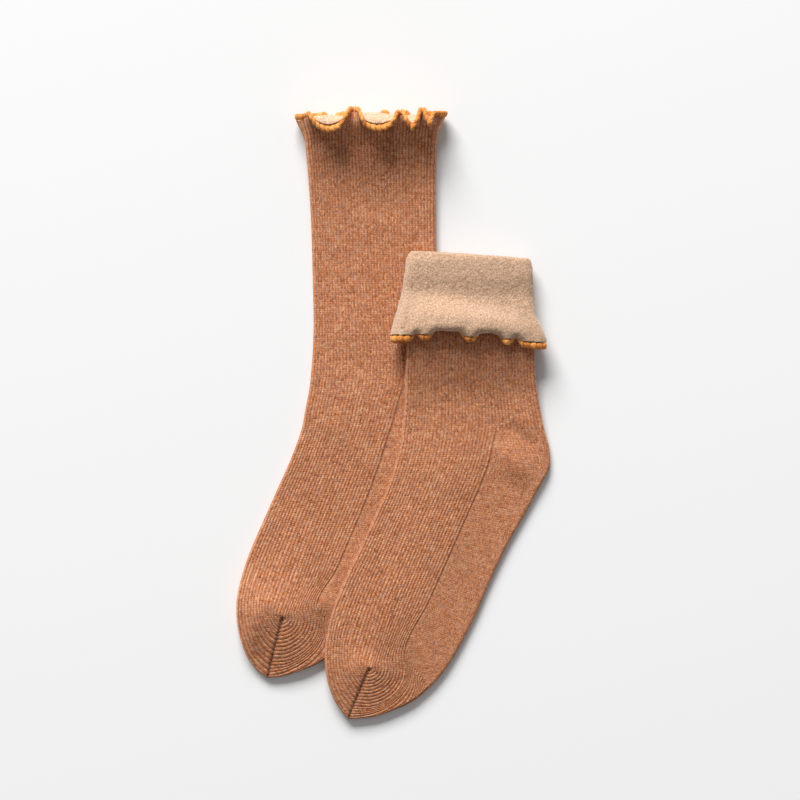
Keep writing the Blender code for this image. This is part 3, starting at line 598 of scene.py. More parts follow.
def mouth_middle(sock, places, lengths):
    """Points of the knit's middle, after each length past the first row."""
    nodes, out_left, out_right = core(sock.rows[:1], sock.shares[:1], sock.halves[:1])
    across, angle = around(places)
    plan = between_nodes(nodes, across)[0]
    out_x = np.sin(angle) * np.where(places < 3, out_right[0, 0], -out_left[0, 0])
    out_z = np.cos(angle)
    edge, lean, curl, reach = wave_at(sock, plan[:, 0], out_z)
    share = (plan[:, 0] - nodes[0, 0, 0]) / (nodes[0, -1, 0] - nodes[0, 0, 0])
    along, out = run_of_rib(sock.course, lengths, lean, curl, share)

    ends = np.array(sock.spread)
    low, high = (through(lengths, ends[:, 0], ends[:, k])[:, None] for k in (1, 2))
    shifted = edge - (ends[-1, 1] + (ends[-1, 2] - ends[-1, 1]) * share)
    x = low + (high - low) * share + ramp(lengths, *sock.course.flare)[:, None] * shifted
    return sock.rest(lengths, x, plan[:, 1] + reach * along, out, out_x, out_z, sock)


def placed(x, y, out, out_x, out_z, sock):
    """Points of the knit's middle from the core's plan and the distance out of the tube."""
    plan = np.stack([x + out_x * (KNIT_MID + out), y], axis=-1)
    middle = HALF_FLAT + lift_at(y, sock.lift) + sock.drape(plan)
    raised = np.clip(out_z, 0, 1) * swell_at(plan, sock.swells)
    return np.concatenate([plan, (middle + raised + out_z * (KNIT_MID + out))[..., None]], axis=-1)


def rests(height, low, ease):
    """The height, eased so that it never comes below low."""
    return low + ease * np.logaddexp(0, (height - low) / ease)


def on_the_surface(lengths, x, y, out, out_x, out_z, sock):
    """The long sock's mouth, whose under panel comes to rest on the surface."""
    points = placed(x, y, out, out_x, out_z, sock)
    points[..., 2] = rests(points[..., 2], HEM_CLEAR, SURFACE_EASE)
    return points


def on_the_leg(lengths, x, y, out, out_x, out_z, sock):
    """The turned sock's mouth, whose waves come to rest on the leg beneath the cuff."""
    waving = ramp(lengths, sock.course.rise[0], sock.course.roll[0])[:, None] * np.clip(out_z, 0, 1)
    return placed(x, y, out + waving * (rests(out, LEG_CLEAR, LEG_EASE) - out), out_x, out_z, sock)


# --- Surfaces of a whole sock


def along_table(values, where):
    """The table's values at fractional section numbers, on a cubic through them. Where the values are points,
    its tangents allow for how far apart they lie."""
    steps = np.diff(values, axis=0)
    gaps = np.ones_like(steps) if values.ndim == 1 else np.linalg.norm(steps, axis=-1, keepdims=True)
    gaps = np.maximum(gaps, LEAST_GAP)
    slopes = steps / gaps
    inner = (slopes[1:] * gaps[:-1] + slopes[:-1] * gaps[1:]) / (gaps[1:] + gaps[:-1])
    tangents = np.concatenate([slopes[:1], inner, slopes[-1:]])
    i = np.clip(where.astype(int), 0, len(slopes) - 1)
    t = (where - i).reshape(-1, *[1] * (values.ndim - 1))
    return cubic(t, values[i], values[i + 1], gaps[i] * tangents[i], gaps[i] * tangents[i + 1])


def core(rows, shares, halves):
    """Five plan points across each row, set in from the edges by the tube's half thickness, and the
    directions out at both ends."""
    left, spine, border, right = np.moveaxis(rows, 1, 0)
    middle = spine + shares[:, None] * (left - spine)
    out_left = (left - middle) / np.linalg.norm(left - middle, axis=1, keepdims=True)
    out_right = (right - border) / np.linalg.norm(right - border, axis=1, keepdims=True)
    inset = halves[:, None]
    nodes = np.stack([left - inset * out_left, middle, spine, border, right - inset * out_right], 1)
    return nodes, out_left, out_right


class Sock:
    """A sock's tables, and the surfaces that they give."""

    def __init__(self, sections, gore, fans, course, spread, front, back, lift, swells, creases, rest, drape):
        self.rows = section_rows(sections, gore, fans)
        self.shares = np.concatenate([np.full(len(sections), LEFT_SHARE), LEFT_SHARES_TOE])
        self.halves = np.array([section.half for section in sections] + list(HALF_TOES))
        self.course, self.spread, self.front, self.back = course, spread, front, back
        self.lift, self.swells, self.creases, self.rest, self.drape = lift, swells, creases, rest, drape
        self.edge = course.length - HEM_WIDTH - HEM_GAP

    def spaced(self, step, first=0, last=None):
        """Section numbers a step apart along the column that runs furthest, from first to last."""
        last = len(self.rows) - 1 if last is None else last
        dense = np.linspace(first, last, ROW_SAMPLES)
        run = np.linalg.norm(np.diff(along_table(self.rows, dense), axis=0), axis=2).max(1)
        run = np.concatenate([[0], np.cumsum(run)])
        return np.interp(np.linspace(0, run[-1], int(run[-1] / step) + 2), run, dense)

    def half_at(self, where):
        """Half the tube's thickness at section numbers."""
        return along_table(self.halves, where)

    def tube(self, where, places, radii):
        """Points of rows at section numbers, at a radius from the flat core that may differ at each point."""
        half, shares = self.half_at(where), along_table(self.shares, where)
        nodes, out_left, out_right = core(along_table(self.rows, where), shares, half)
        across, angle = around(places)
        plan = between_nodes(nodes, across)
        out = np.where((places % 6 < 3)[..., None], out_right[:, None], -out_left[:, None])
        middle = np.minimum(half, HALF_FLAT)[:, None] + lift_at(plan[..., 1], self.lift) + self.drape(plan)
        points = np.empty((*plan.shape[:2], 3))
        points[..., :2] = plan + out * (radii * np.sin(angle))[..., None]
        upward = np.cos(angle)
        raised = swell_at(plan, self.swells) + crease_at(plan, self.creases)
        points[..., 2] = middle + radii * upward + np.clip(upward, 0, 1) * raised
        return points

    def mouth(self, lengths, places):
        """Points of the knit's middle after each length past the first row, and the normals that small steps
        round and along the cloth give."""
        lengths = np.asarray(lengths, float)

        def middle(place_step, length_step):
            return mouth_middle(self, places + place_step, lengths + length_step)

        round_it = middle(PLACE_STEP, 0) - middle(-PLACE_STEP, 0)
        up_it = middle(0, COURSE_STEP) - middle(0, -COURSE_STEP)
        normal = np.cross(round_it, up_it)
        return middle(0, 0), normal / np.linalg.norm(normal, axis=2, keepdims=True)


def crease_at(plan, creases):
    """Height of the creases over plan points: soft ridges, or troughs where the height is negative, along a
    straight line that fades at both ends."""
    height = np.zeros(plan.shape[:-1])
    for crease in creases:
        start, end = np.array(crease.start), np.array(crease.end)
        way = end - start
        share = ((plan - start) @ way) / (way @ way)
        nearest = start + np.clip(share, 0, 1)[..., None] * way
        off = np.linalg.norm(plan - nearest, axis=-1) / crease.width
        height += crease.height * np.exp(-(off**2)) * ramp(np.minimum(share, 1 - share), *CREASE_FADE)
    return height


def unevenness(points, size, seed):
    """Smooth noise from -1 to 1: values on a lattice, from a 16-bit hash of each corner, blended between."""
    cells = points / size
    low = np.floor(cells).astype(np.int64)
    t = cells - low
    t = t * t * (3 - 2 * t)
    total = np.zeros(points.shape[:-1])
    for corner in np.ndindex(2, 2, 2):
        at = low + corner
        x, y, z = (at[..., k] * prime for k, prime in enumerate(LATTICE_PRIMES))
        mixed = x ^ y ^ z ^ seed * SEED_PRIME
        mixed = (mixed ^ (mixed >> 13)) * MIXING_PRIME & 0x7FFFFFFF
        value = (mixed ^ (mixed >> 16)) % 65536 / 32767.5 - 1
        total += value * np.prod(np.where(corner, t, 1 - t), axis=-1)
    return total


def way_along(points):
    """The way along each column from the first row."""
    steps = np.linalg.norm(np.diff(points, axis=0), axis=2)
    return np.concatenate([np.zeros((1, points.shape[1])), np.cumsum(steps, axis=0)])


def even_steps(length, step):
    """Lengths from 0 to the whole one, at most a step apart."""
    return np.linspace(0, length, int(length / step) + 2)


# --- Meshes


def closed_grid(name, points, across, along, masks, material):
    """A mesh of quads over rings of points, closed round each ring and from the last ring to the first, with
    a UV map of the numbers across and along, and a named value at each point for each mask."""
    rings, columns = points.shape[:2]
    i, j = np.arange(rings)[:, None], np.arange(columns)[None]
    next_i, next_j = (i + 1) % rings, (j + 1) % columns
    corners = [(i, j), (i, next_j), (next_i, next_j), (next_i, j)]
    quads = np.stack([np.broadcast_to(a * columns + b, (rings, columns)) for a, b in corners], -1)
    quads = quads.reshape(-1, 4)
    following = np.concatenate([along[1:], along[-1:]])
    near, far = (np.concatenate([rows, rows[:, :1]], 1) for rows in (along, following))
    u = np.broadcast_to(across, (rings, columns + 1))
    first, last = slice(None, -1), slice(1, None)
    sides = ((near, first), (near, last), (far, last), (far, first))
    maps = np.stack([np.stack([u[:, side], rows[:, side]], -1) for rows, side in sides], 2).reshape(-1, 4, 2)

    flat = ((points - (*ORIGIN, 0)) * MM).reshape(-1, 3)
    flat[:, 2] = np.maximum(flat[:, 2], 0)
    a, b, c, d = (flat[quads[:, k]] for k in range(4))
    if (np.cross(c - a, d - b) * (a + b + c + d)).sum() < 0:
        quads, maps = quads[:, ::-1], maps[:, ::-1]

    mesh = bpy.data.meshes.new(name)
    mesh.vertices.add(len(flat))
    mesh.vertices.foreach_set("co", flat.ravel())
    mesh.loops.add(quads.size)
    mesh.loops.foreach_set("vertex_index", quads.ravel())
    mesh.polygons.add(len(quads))
    mesh.polygons.foreach_set("loop_start", np.arange(len(quads)) * 4)
    mesh.update(calc_edges=True)
    mesh.uv_layers.new(name="knit").data.foreach_set("uv", maps.ravel())
    for title, values in masks.items():
        mesh.attributes.new(title, "FLOAT", "POINT").data.foreach_set("value", values.ravel())
    mesh.shade_smooth()
    mesh.materials.append(material)
    piece = bpy.data.objects.new(name, mesh)
    bpy.context.scene.collection.objects.link(piece)
    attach(piece, "root")
    return piece


def ring_run(sock, length, samples):
    """Many places round the tube, and the way to each along the knit's middle after a length."""
    dense = np.linspace(0, 6, samples)
    ring = sock.mouth([length], dense)[0][0]
    return dense, np.concatenate([[0], np.cumsum(np.linalg.norm(np.diff(ring, axis=0), axis=1))])


# --- Knit


def toe_places(places, at_tip, where):
    """The ribs' places on rows at section numbers: moved evenly over the toe to where they are at its tip."""
    share = np.clip((where - TOE_START) / (TOE_END - TOE_START), 0, 1)[:, None]
    return places + share * (at_tip - places)


def rib_spacing(points, numbers):
    """The distance from rib to rib at each point, over the columns beside it."""
    distance = np.linalg.norm(np.roll(points, -2, 1) - np.roll(points, 2, 1), axis=2)
    return distance / ((np.roll(numbers, -2) - np.roll(numbers, 2)) % RIB_COUNT)


def from_border(numbers):
    """How far rib numbers are from the nearer last instep rib, where plain knit begins."""
    return np.minimum(np.abs(numbers - UPPER_BORDER), np.abs(numbers - UNDER_BORDER))


def rib_relief(numbers, spacing, shares, plain):
    """Height of the knit's face over its wall: a crest along each rib and a groove at each whole number, as
    deep as the share says and less where the ribs crowd. Plain knit keeps one groove, at its border."""
    crest = ramp(np.abs(numbers - np.round(numbers)), 0, GROOVE_SHARE)
    depth = RIB_DEPTH * shares * np.clip(spacing / RIB_PITCH, CROWDED_SHARE, 1)
    ribbed = RIB_HIGH - depth * (1 - crest)
    smooth = PLAIN_HIGH - BORDER_DEPTH * (1 - ramp(from_border(numbers), 0, BORDER_WIDTH))
    return ribbed * (1 - plain) + smooth * plain


def knit_body(name, sock, material):
    """The knitted tube as one closed wall: outside from the toe's gore to the hem, and back inside to the
    gore, where the two halves of each panel turn in and meet. Its rows are a lip in the gore, then the leg
    from toe to mouth, the waved mouth, the mouth's inner face and the inside."""
    numbers = (np.arange(RIB_COUNT)[:, None] + RIB_STEPS).ravel()
    places, at_tip = (np.interp(numbers, [r[k] for r in RIBS], [r.place for r in RIBS]) for k in (2, 3))
    where = sock.spaced(ROW_STEP)[::-1]
    over_toe = toe_places(places, at_tip, where)
    across = np.abs(around(over_toe)[0])

    half = sock.half_at(where)[:, None]
    base = sock.tube(where, over_toe, half + 0 * numbers)
    shares = np.interp(where, *np.transpose(RIB_SHARES))[:, None]
    shares = shares + EDGE_DEEPER * (1 - shares) * ramp(across, EDGE_RIBS, 1)
    in_rows = ramp(where, PLAIN_FROM, PLAIN_FROM + PLAIN_EASE)
    in_rows = (in_rows * (1 - ramp(where, PLAIN_TO - PLAIN_EASE, PLAIN_TO)))[:, None]
    in_columns = ramp(numbers, UPPER_BORDER, UPPER_BORDER + PLAIN_RIB_EASE)
    in_columns = in_columns * (1 - ramp(numbers, UNDER_BORDER - PLAIN_RIB_EASE, UNDER_BORDER))
    plain = in_rows * in_columns
    # painted shade along the plain knit's border groove, carried with the gore's in the gore mask
    border = BORDER_DARK * in_rows * (1 - ramp(from_border(numbers), *BORDER_LINE))

    to_gore = way_along(base) + 0 * shares
    groove = GORE_DEPTH * (1 - ramp(to_gore, 0, GORE_WIDTH)) * (across < GORE_REACH)
    relief = rib_relief(numbers, rib_spacing(base, numbers), shares, plain) - groove
    leg = sock.tube(where, over_toe, half + relief)
    lip = sock.tube(where[:1], at_tip, half[:1] - TOE_LIP + 0 * numbers)

    middle, normal = sock.mouth(even_steps(sock.edge, MOUTH_STEP)[1:], places)
    relief = rib_relief(numbers, rib_spacing(middle, numbers), RIB_SHARES[0][1], 0)
    waved = middle + (KNIT / 2 + relief)[..., None] * normal
    middle, normal = sock.mouth(even_steps(sock.edge, MOUTH_STEP_INSIDE)[::-1], places)
    waved_inside = middle - KNIT / 2 * normal

    inside = sock.spaced(INNER_STEP)[1:]
    inner_half = sock.half_at(inside)
    wall = np.minimum(KNIT + (WALL - KNIT) * ramp(inside, *WALL_SECTIONS), inner_half - GAP)
    inner = sock.tube(inside, toe_places(places, at_tip, inside), (inner_half - wall)[:, None] + 0 * numbers)
    points = np.concatenate([lip, leg, waved, waved_inside, inner])

    # Courses are counted from the first section: level round leg and foot, and along each rib over the toe
    # and through the mouth.
    rows = len(where)
    way = way_along(np.concatenate([leg, waved]))
    mean = way.mean(1, keepdims=True)
    on_toe = ramp(where, PLAIN_TO - 1, PLAIN_TO)[:, None]
    top = way[rows - 1]
    courses = (top - way[:rows]) * on_toe + (mean[rows - 1] - mean[:rows]) * (1 - on_toe)
    outer = np.concatenate([courses, top - way[rows:]])
    rest = np.repeat(outer[-1:], len(waved_inside) + len(inner), 0)
    along = np.concatenate([outer[:1], outer, rest]) / COURSE_HEIGHT

    def over_piece(values, fill):
        """A mask over the whole piece from its values on the leg's rows."""
        after = np.full((len(points) - 1 - rows, len(numbers)), fill)
        return np.concatenate([values[:1], values, after])

    masks = {
        "plain": over_piece(plain, 0.0),
        "ribbed": over_piece(shares + 0 * numbers, 1.0),
        "gore": over_piece(np.maximum(1 - ramp(to_gore, GORE_LINE, GORE_WIDTH), border), 0.0),
    }
    return closed_grid(name, points, np.append(numbers, RIB_COUNT), along, masks, material)


# --- Brushed lining


def napped(points, normal):
    """The brushed face: its points moved along the normal by unevenness of several sizes."""
    moved = sum(height * unevenness(points, size, seed) for seed, (size, height) in enumerate(NAP))
    return points + moved[..., None] * normal


def brushed_lining(name, sock, material):
    """The lining as one closed layer: its brushed face from the foot of the lining to the hem, and back along
    its face towards the knit."""
    dense, run = ring_run(sock, 0.0, LINING_SAMPLES)
    columns = int(run[-1] / NAP_STEP)
    places = np.interp(np.arange(columns) / columns * run[-1], run, dense)

    def below_mouth(where, inwards):
        """Rows at section numbers, inwards from the knit's outer face."""
        return sock.tube(where, places, sock.half_at(where)[:, None] + 0 * places - inwards)

    brushed = below_mouth(sock.spaced(FOOT_STEP, *LINING_SECTIONS)[::-1], KNIT + GAP + LINING)
    middle, normal = sock.mouth(even_steps(sock.edge, NAP_STEP), places)
    napped_mouth = napped(middle - (KNIT / 2 + GAP + LINING) * normal, -normal)
    middle, normal = sock.mouth(even_steps(sock.edge, NAP_STEP_HIDDEN)[::-1], places)
    face = middle - (KNIT / 2 + GAP) * normal
    towards_knit = below_mouth(sock.spaced(FOOT_STEP_HIDDEN, *LINING_SECTIONS), KNIT + GAP)

    points = np.concatenate([brushed, napped_mouth, face, towards_knit])
    return closed_grid(name, points, np.arange(columns + 1) * NAP_STEP, way_along(points), {}, material)


# --- Overlocked hem


def overlocked_hem(name, sock, material):
    """The stitches round the hem as one closed ring: an oval section carried along the edge, swollen at each
    stitch and slanted from face to face."""
    length = sock.course.length - HEM_WIDTH / 2
    dense, run = ring_run(sock, length, HEM_SAMPLES)
    stitches = int(round(run[-1] / STITCH_PITCH))
    stitch = np.arange(stitches * STITCH_STEPS) / STITCH_STEPS
    places = np.interp(stitch / stitches * run[-1], run, dense)
    middle, normal = sock.mouth([length], places)
    ahead = sock.mouth([length + COURSE_STEP], places)[0] - middle
    ahead /= np.linalg.norm(ahead, axis=2, keepdims=True)

    angle = 2 * np.pi * np.arange(STITCH_SIDES)[:, None] / STITCH_SIDES
    phase = stitch + STITCH_SLANT * np.sin(angle)
    crown = STITCH_CROWN * np.abs(np.sin(np.pi * phase)) ** STITCH_FULL
    swell = 1 - STITCH_SWELL + STITCH_SWELL * crown
    cells = np.stack([stitch * STITCH_CELLS, 0 * stitch, 0 * stitch], -1)
    swell = swell * (1 + STITCH_UNEVEN * unevenness(cells, 1, STITCH_SEED))
    outward = (HEM_WIDTH / 2 * swell * -np.cos(angle))[..., None] * ahead
    upward = (HEM_DEPTH - HEM_HALF * swell * np.sin(angle))[..., None] * normal
    along = np.broadcast_to(angle / (2 * np.pi), phase.shape)
    across = np.arange(stitches * STITCH_STEPS + 1) / STITCH_STEPS
    return closed_grid(name, middle + outward + upward, across, along, {}, material)


# --- Materials


class Tree:
    """A node tree, with short ways to add nodes whose inputs are values or other nodes' outputs."""

    def __init__(self, tree):
        self.tree = tree

    def set(self, node, inputs):
        for key, value in inputs.items():
            if isinstance(value, bpy.types.NodeSocket):
                self.tree.links.new(value, node.inputs[key])
            else:
                node.inputs[key].default_value = value

    def add(self, kind, inputs=None, **settings):
        node = self.tree.nodes.new("ShaderNode" + kind)
        for key, value in settings.items():
            setattr(node, key, value)
        self.set(node, inputs or {})
        return node

    def math(self, operation, *values):
        return self.add("Math", dict(enumerate(values)), operation=operation).outputs[0]

    def less(self, value):
        """1 less the value."""
        return self.math("SUBTRACT", 1.0, value)

    def plus(self, value, other, share):
        """The value and a share of the other."""
        return self.math("ADD", value, self.math("MULTIPLY", other, share))

    def vector(self, x, y, z=0.0):
        return self.add("CombineXYZ", {0: x, 1: y, 2: z}).outputs[0]

    def between(self, value, low, high, to_low=0.0, to_high=1.0):
        inputs = {"Value": value, "From Min": low, "From Max": high, "To Min": to_low, "To Max": to_high}
        return self.add("MapRange", inputs, interpolation_type="SMOOTHSTEP").outputs["Result"]

    def mix(self, share, first, second):
        return self.add("Mix", {0: share, 6: first, 7: second}, data_type="RGBA").outputs[2]

    def times(self, colour, factor):
        return self.add("VectorMath", {0: colour, "Scale": factor}, operation="SCALE").outputs[0]

    def noise(self, vector, scale, detail=2.0, roughness=0.5):
        inputs = {"Vector": vector, "Scale": scale, "Detail": detail, "Roughness": roughness}
        return self.add("TexNoise", inputs).outputs["Fac"]

    def attribute(self, name):
        return self.add("Attribute", attribute_name=name, attribute_type="GEOMETRY").outputs["Fac"]

    def place(self):
        return self.add("TexCoord").outputs["Object"]

    def knit_map(self):
        """The numbers across and along from the piece's UV map."""
        uv = self.add("UVMap", uv_map="knit").outputs[0]
        parts = self.add("SeparateXYZ", {0: uv}).outputs
        return parts[0], parts[1]


def new_group(name, inputs, outputs):
    """An empty node group with named sockets: its tree, its input node's outputs and its output node."""
    tree = bpy.data.node_groups.new(name, "ShaderNodeTree")
    kinds = {"value": "NodeSocketFloat", "vector": "NodeSocketVector", "colour": "NodeSocketColor"}
    for way, sockets in (("INPUT", inputs), ("OUTPUT", outputs)):
        for title, kind in sockets.items():
            tree.interface.new_socket(title, in_out=way, socket_type=kinds[kind])
    return Tree(tree), tree.nodes.new("NodeGroupInput").outputs, tree.nodes.new("NodeGroupOutput")


def heather_group():
    """Mixed fibres: three shades chosen by a value from 0 to 1 and by two fine noises."""
    shades = {"Dark": "colour", "Base": "colour", "Light": "colour"}
    t, given, made = new_group(
        "mixed_fibres", {"Vector": "vector", "Size": "value", "Value": "value", **shades}, {"Color": "colour"}
    )
    fine = t.noise(given["Vector"], given["Size"], 3.0, 0.65)
    coarse = t.noise(given["Vector"], t.math("MULTIPLY", given["Size"], COARSER), 1.0)
    speckle = t.plus(t.math("MULTIPLY", fine, SPECK_WEIGHTS[0]), coarse, SPECK_WEIGHTS[1])
    speckle = t.math("ADD", t.math("SUBTRACT", speckle, SPECK_MEAN), given["Value"])
    darkened = t.mix(t.between(speckle, *DARK_RANGE), given["Dark"], given["Base"])
    t.set(made, {"Color": t.mix(t.between(speckle, *LIGHT_RANGE), darkened, given["Light"])})
    return t.tree


def stitch_group():
    """Knit stitches from the numbers across and along: each is a pair of slanted legs that lean outwards, in
    one column on each rib and in two where the knit is plain. Gives their height, numbers that are the same
    all over one leg, and a mask of the grooves between them, where the knit material paints shade."""
    t, given, made = new_group(
        "knit_stitches",
        {"Across": "value", "Along": "value", "Plain": "value"},
        {"Height": "value", "Leg": "vector", "Groove": "value"},
    )
    plain = given["Plain"]
    columns = t.math("MULTIPLY", given["Across"], t.math("ADD", plain, 1.0))
    off = t.math("SUBTRACT", t.math("FRACT", columns), 0.5)
    side = t.math("MULTIPLY", t.math("ABSOLUTE", off), t.between(plain, 0.0, 1.0, *LEG_SPREAD))
    slant = t.math("MULTIPLY", side, t.between(plain, 0.0, 1.0, *LEG_SLANT))
    course = t.math("SUBTRACT", given["Along"], slant)
    along = t.between(t.math("COSINE", t.math("MULTIPLY", course, 2 * np.pi)), *LEG_ENDS)
    inner = t.math("SUBTRACT", t.math("MULTIPLY", side, 2.0), 1.0)
    over = t.math("MAXIMUM", t.less(t.math("MULTIPLY", inner, inner)), 0.0)
    over = t.math("POWER", over, LEG_ROUND)
    height = t.math("MULTIPLY", over, t.plus(LEG_LOW, along, 1 - LEG_LOW))
    half_column = t.math("FLOOR", t.math("MULTIPLY", columns, 2.0))
    leg = t.vector(half_column, t.math("FLOOR", t.math("ADD", course, 0.5)), t.math("SIGN", off))
    t.set(made, {"Height": height, "Leg": leg, "Groove": t.between(height, 0.0, LEG_GROOVE, 1.0, 0.0)})
    return t.tree


def new_material(name):
    """An empty material: itself, its node tree and its shader."""
    material = bpy.data.materials.new(name)
    material.use_nodes = True
    return material, Tree(material.node_tree), material.node_tree.nodes["Principled BSDF"]


def fibre_colour(t, group, place, value, fibres):
    """The mixed fibres' colour at a place, darker or lighter by the value."""
    inputs = {"Vector": place, "Size": fibres.scale, "Value": value}
    inputs |= {"Dark": fibres.dark, "Base": fibres.base, "Light": fibres.light}
    return t.add("Group", inputs, node_tree=group).outputs["Color"]


def finish_cloth(t, shader, colour, height, finish):
    """The cloth's colour, its bump from a height, and a soft sheen."""
    bump = {"Strength": finish.bump, "Distance": finish.depth, "Height": height}
    t.set(shader, {
        "Base Color": colour,
        "Normal": t.add("Bump", bump).outputs[0],
        "Roughness": finish.roughness,
        "Specular IOR Level": CLOTH_SPECULAR,
        "Sheen Weight": finish.sheen,
        "Sheen Roughness": SHEEN_ROUGHNESS,
        "Sheen Tint": finish.tint,
    })


def knit_material(stitches, fibres):
    """Heathered rust yarn in ribs and plain knit. Each stitch leg has its own shade, and so has each short
    stretch of a course. The grooves between ribs and stitches, the gore and the border of the plain knit are
    darkened with painted shade, and plain knit is a little darker all over."""
    material, t, shader = new_material("heathered_rust_knit")
    place = t.place()
    across, along = t.knit_map()
    plain = t.math("GREATER_THAN", t.attribute("plain"), 0.5)
    ribbed, gore = t.attribute("ribbed"), t.attribute("gore")
    stitch = t.add("Group", {"Across": across, "Along": along, "Plain": plain}, node_tree=stitches).outputs

    own = t.add("TexWhiteNoise", {"Vector": stitch["Leg"]}, noise_dimensions="3D").outputs["Value"]
    course = t.math("MULTIPLY", t.math("FLOOR", along), STREAK_COURSES)
    streaks = t.noise(t.vector(t.math("MULTIPLY", across, STREAK_RIBS), course), 1.0, 1.0)
    value = t.plus(t.math("MULTIPLY", own, LEG_SHADE), t.between(streaks, *NOISE_RANGE), STREAK_SHADE)
    yarn = fibre_colour(t, fibres, place, t.math("ADD", value, LEAST_SHADE), RUST)
    tint = {"Vector": stitch["Leg"], "W": GREY_SEED}
    tint = t.add("TexWhiteNoise", tint, noise_dimensions="4D").outputs["Value"]
    greyed = t.between(t.math("ADD", tint, t.noise(place, GREY_SCALE)), *GREY_RANGE)
    yarn = t.mix(t.math("MULTIPLY", greyed, GREY_SHARE), yarn, GREYED)

    # painted shade: the colour is darkened in the grooves between ribs, in the gaps between stitch legs,
    # along the gore and along the plain knit's border
    off = t.math("ABSOLUTE", t.math("SUBTRACT", t.math("FRACT", t.math("ADD", across, 0.5)), 0.5))
    valley = t.math("MULTIPLY", t.between(off, *VALLEY_RANGE, 1.0, 0.0), t.less(plain))
    valley = t.math("MULTIPLY", valley, t.between(ribbed, *RIBBED_RANGE, *VALLEY_DARK))
    dark = t.plus(t.plus(valley, stitch["Groove"], GROOVE_DARK), gore, GORE_DARK)
    clouds = t.between(t.noise(place, CLOUD_SCALE), *NOISE_RANGE, *CLOUDS)
    lit = t.math("MULTIPLY", t.less(t.math("MINIMUM", dark, MOST_DARK)), clouds)
    lit = t.math("MULTIPLY", lit, t.less(t.math("MULTIPLY", plain, PLAIN_DARK)))

    height = t.plus(stitch["Height"], t.noise(place, FUZZ_SCALE), FUZZ_HEIGHT)
    finish_cloth(t, shader, t.times(yarn, lit), height, KNIT_FINISH)
    return material


def fleece_material(name, fibres, brightness):
    """Brushed cream fleece in tufts, with rust fibres among it. A brightness above 1 lightens its colour as
    painted light.
    """
    material, t, shader = new_material(name)
    place = t.place()
    tuft = t.between(t.noise(place, TUFT_SCALE, 2.0, NAP_ROUGHNESS), *TUFT_RANGE, *TUFT_SHADES)
    colour = t.times(fibre_colour(t, fibres, place, tuft, CREAM), brightness)
    nap = t.noise(place, NAP_SCALE, NAP_DETAIL, NAP_ROUGHNESS)
    height = t.plus(nap, t.noise(place, HAIR_SCALE), HAIR_HEIGHT)
    finish_cloth(t, shader, colour, height, FLEECE_FINISH)
    return material


def thread_material(fibres):
    """Mustard overlock thread: strands that run round the hem in each stitch. The gap between stitches is
    darkened with painted shade.
    """
    material, t, shader = new_material("mustard_thread")
    across, along = t.knit_map()
    slant = t.plus(across, t.math("SINE", t.math("MULTIPLY", along, 2 * np.pi)), STITCH_SLANT)

    def swellings(number):
        """From 0 to 1 and back, this many times in each stitch."""
        return t.math("ABSOLUTE", t.math("SINE", t.math("MULTIPLY", slant, number * np.pi)))

    gap = t.between(swellings(1), 0.0, THREAD_GAP, 1.0, 0.0)
    place = t.place()
    own = t.add("TexWhiteNoise", {"W": t.math("FLOOR", slant)}, noise_dimensions="1D").outputs["Value"]
    colour = fibre_colour(t, fibres, place, t.between(own, 0.0, 1.0, *THREAD_SHADES), MUSTARD)
    # painted shade darkens the thread in the gap between stitches
    colour = t.times(colour, t.less(t.math("MULTIPLY", gap, THREAD_GAP_DARK)))
    height = t.plus(t.noise(place, FUZZ_SCALE), swellings(STRANDS), STRAND_HEIGHT)
    finish_cloth(t, shader, colour, height, THREAD_FINISH)
    return material


# --- Studio


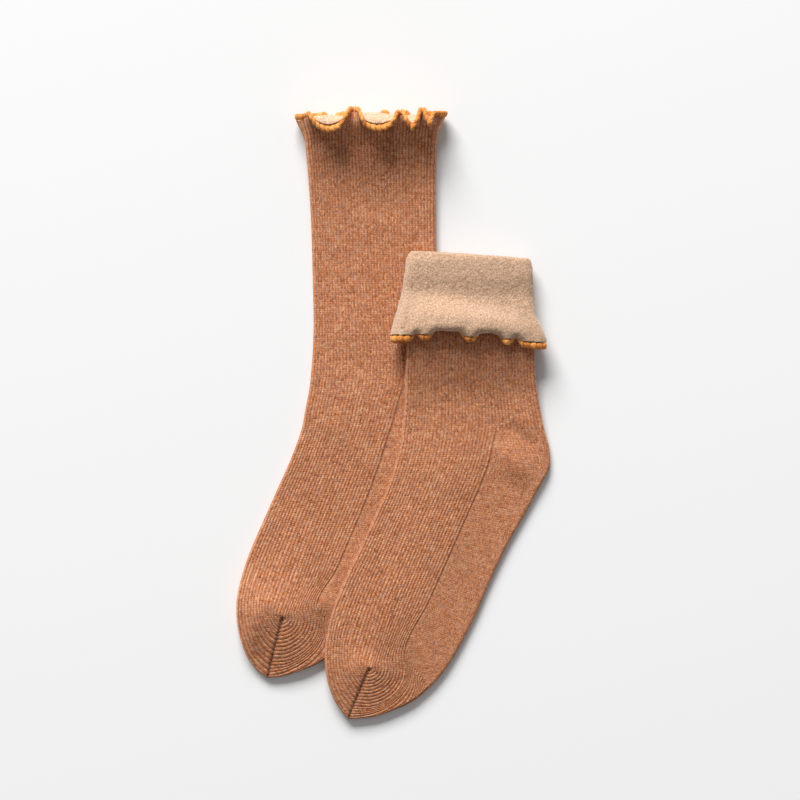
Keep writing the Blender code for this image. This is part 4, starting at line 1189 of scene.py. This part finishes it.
def studio():
    """A camera that looks straight down, a pale floor, a large soft lamp beyond the mouths and white air."""
    scene = bpy.context.scene
    scene.view_settings.view_transform = "Standard"
    camera = bpy.data.objects.new("camera", bpy.data.cameras.new("camera"))
    camera.data.sensor_width = SENSOR
    camera.data.lens = SENSOR * CAMERA_HEIGHT / FRAME_WIDTH
    camera.data.clip_end = CAMERA_REACH
    camera.location = (*VIEW_MIDDLE, CAMERA_HEIGHT)
    scene.collection.objects.link(camera)
    scene.camera = camera

    corner = FLOOR_SIZE / 2
    mesh = bpy.data.meshes.new("floor")
    corners = [(-corner, -corner), (corner, -corner), (corner, corner), (-corner, corner)]
    mesh.from_pydata([(x, y, -FLOOR_DROP) for x, y in corners], [], [(0, 1, 2, 3)])
    floor = bpy.data.objects.new("floor", mesh)
    material, t, shader = new_material("pale_floor")
    matt = {"Roughness": FLOOR_ROUGHNESS, "Specular IOR Level": FLOOR_SPECULAR}
    t.set(shader, {"Base Color": FLOOR_COLOUR, **matt})
    mesh.materials.append(material)
    scene.collection.objects.link(floor)

    lamp = bpy.data.objects.new("soft_lamp", bpy.data.lights.new("soft_lamp", "AREA"))
    lamp.data.shape = "RECTANGLE"
    lamp.data.size, lamp.data.size_y = LAMP_SIZE
    lamp.data.energy = LAMP_POWER
    lamp.location = LAMP_PLACE
    x, y, z = LAMP_PLACE
    lamp.rotation_euler = (np.arctan2(np.hypot(x, y), z), 0, np.arctan2(x, -y))
    scene.collection.objects.link(lamp)

    world = bpy.data.worlds.new("white_air")
    world.use_nodes = True
    air = {"Color": AIR_COLOUR, "Strength": AIR_LIGHT}
    Tree(world.node_tree).set(world.node_tree.nodes["Background"], air)
    scene.world = world


# --- The pair


def main():
    studio()
    fibres = heather_group()
    knit, thread = knit_material(stitch_group(), fibres), thread_material(fibres)
    # sock A's fleece is a lighter copy of the same fleece: painted light on its rolled mouth, which faces the
    # lamp
    painted_light_fleece = fleece_material("cream_fleece_painted_light", fibres, PAINTED_LIGHT_BRIGHTNESS)
    base_fleece = fleece_material("base_cream_fleece", fibres, BASE_BRIGHTNESS)
    long_sock = Sock(
        LONG_SECTIONS, LONG_GORE, LONG_TOE, LONG_COURSE, LONG_SPREAD, LONG_FRONT, LONG_BACK, LONG_LIFT,
        LONG_SWELLS, LONG_CREASES, on_the_surface, flat_on_surface,
    )
    turned_sock = Sock(
        TURNED_SECTIONS, TURNED_GORE, TURNED_TOE, TURNED_COURSE, TURNED_SPREAD, TURNED_FRONT, TURNED_BACK,
        TURNED_LIFT, TURNED_SWELLS, TURNED_CREASES, on_the_leg, over_long_sock(long_sock.rows),
    )
    for name, sock, fleece in (("sock_a", long_sock, painted_light_fleece), ("sock_b", turned_sock, base_fleece)):
        body = knit_body(name + "_knit", sock, knit)
        lining = brushed_lining(name + "_fleece", sock, fleece)
        hem = overlocked_hem(name + "_overlock", sock, thread)
        for piece, node, slot in (
            (body, "_body", "rib_knit"),
            (lining, "_lining", "brushed_lining"),
            (hem, "_hem", "overlock_thread"),
        ):
            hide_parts(name + node)


main()
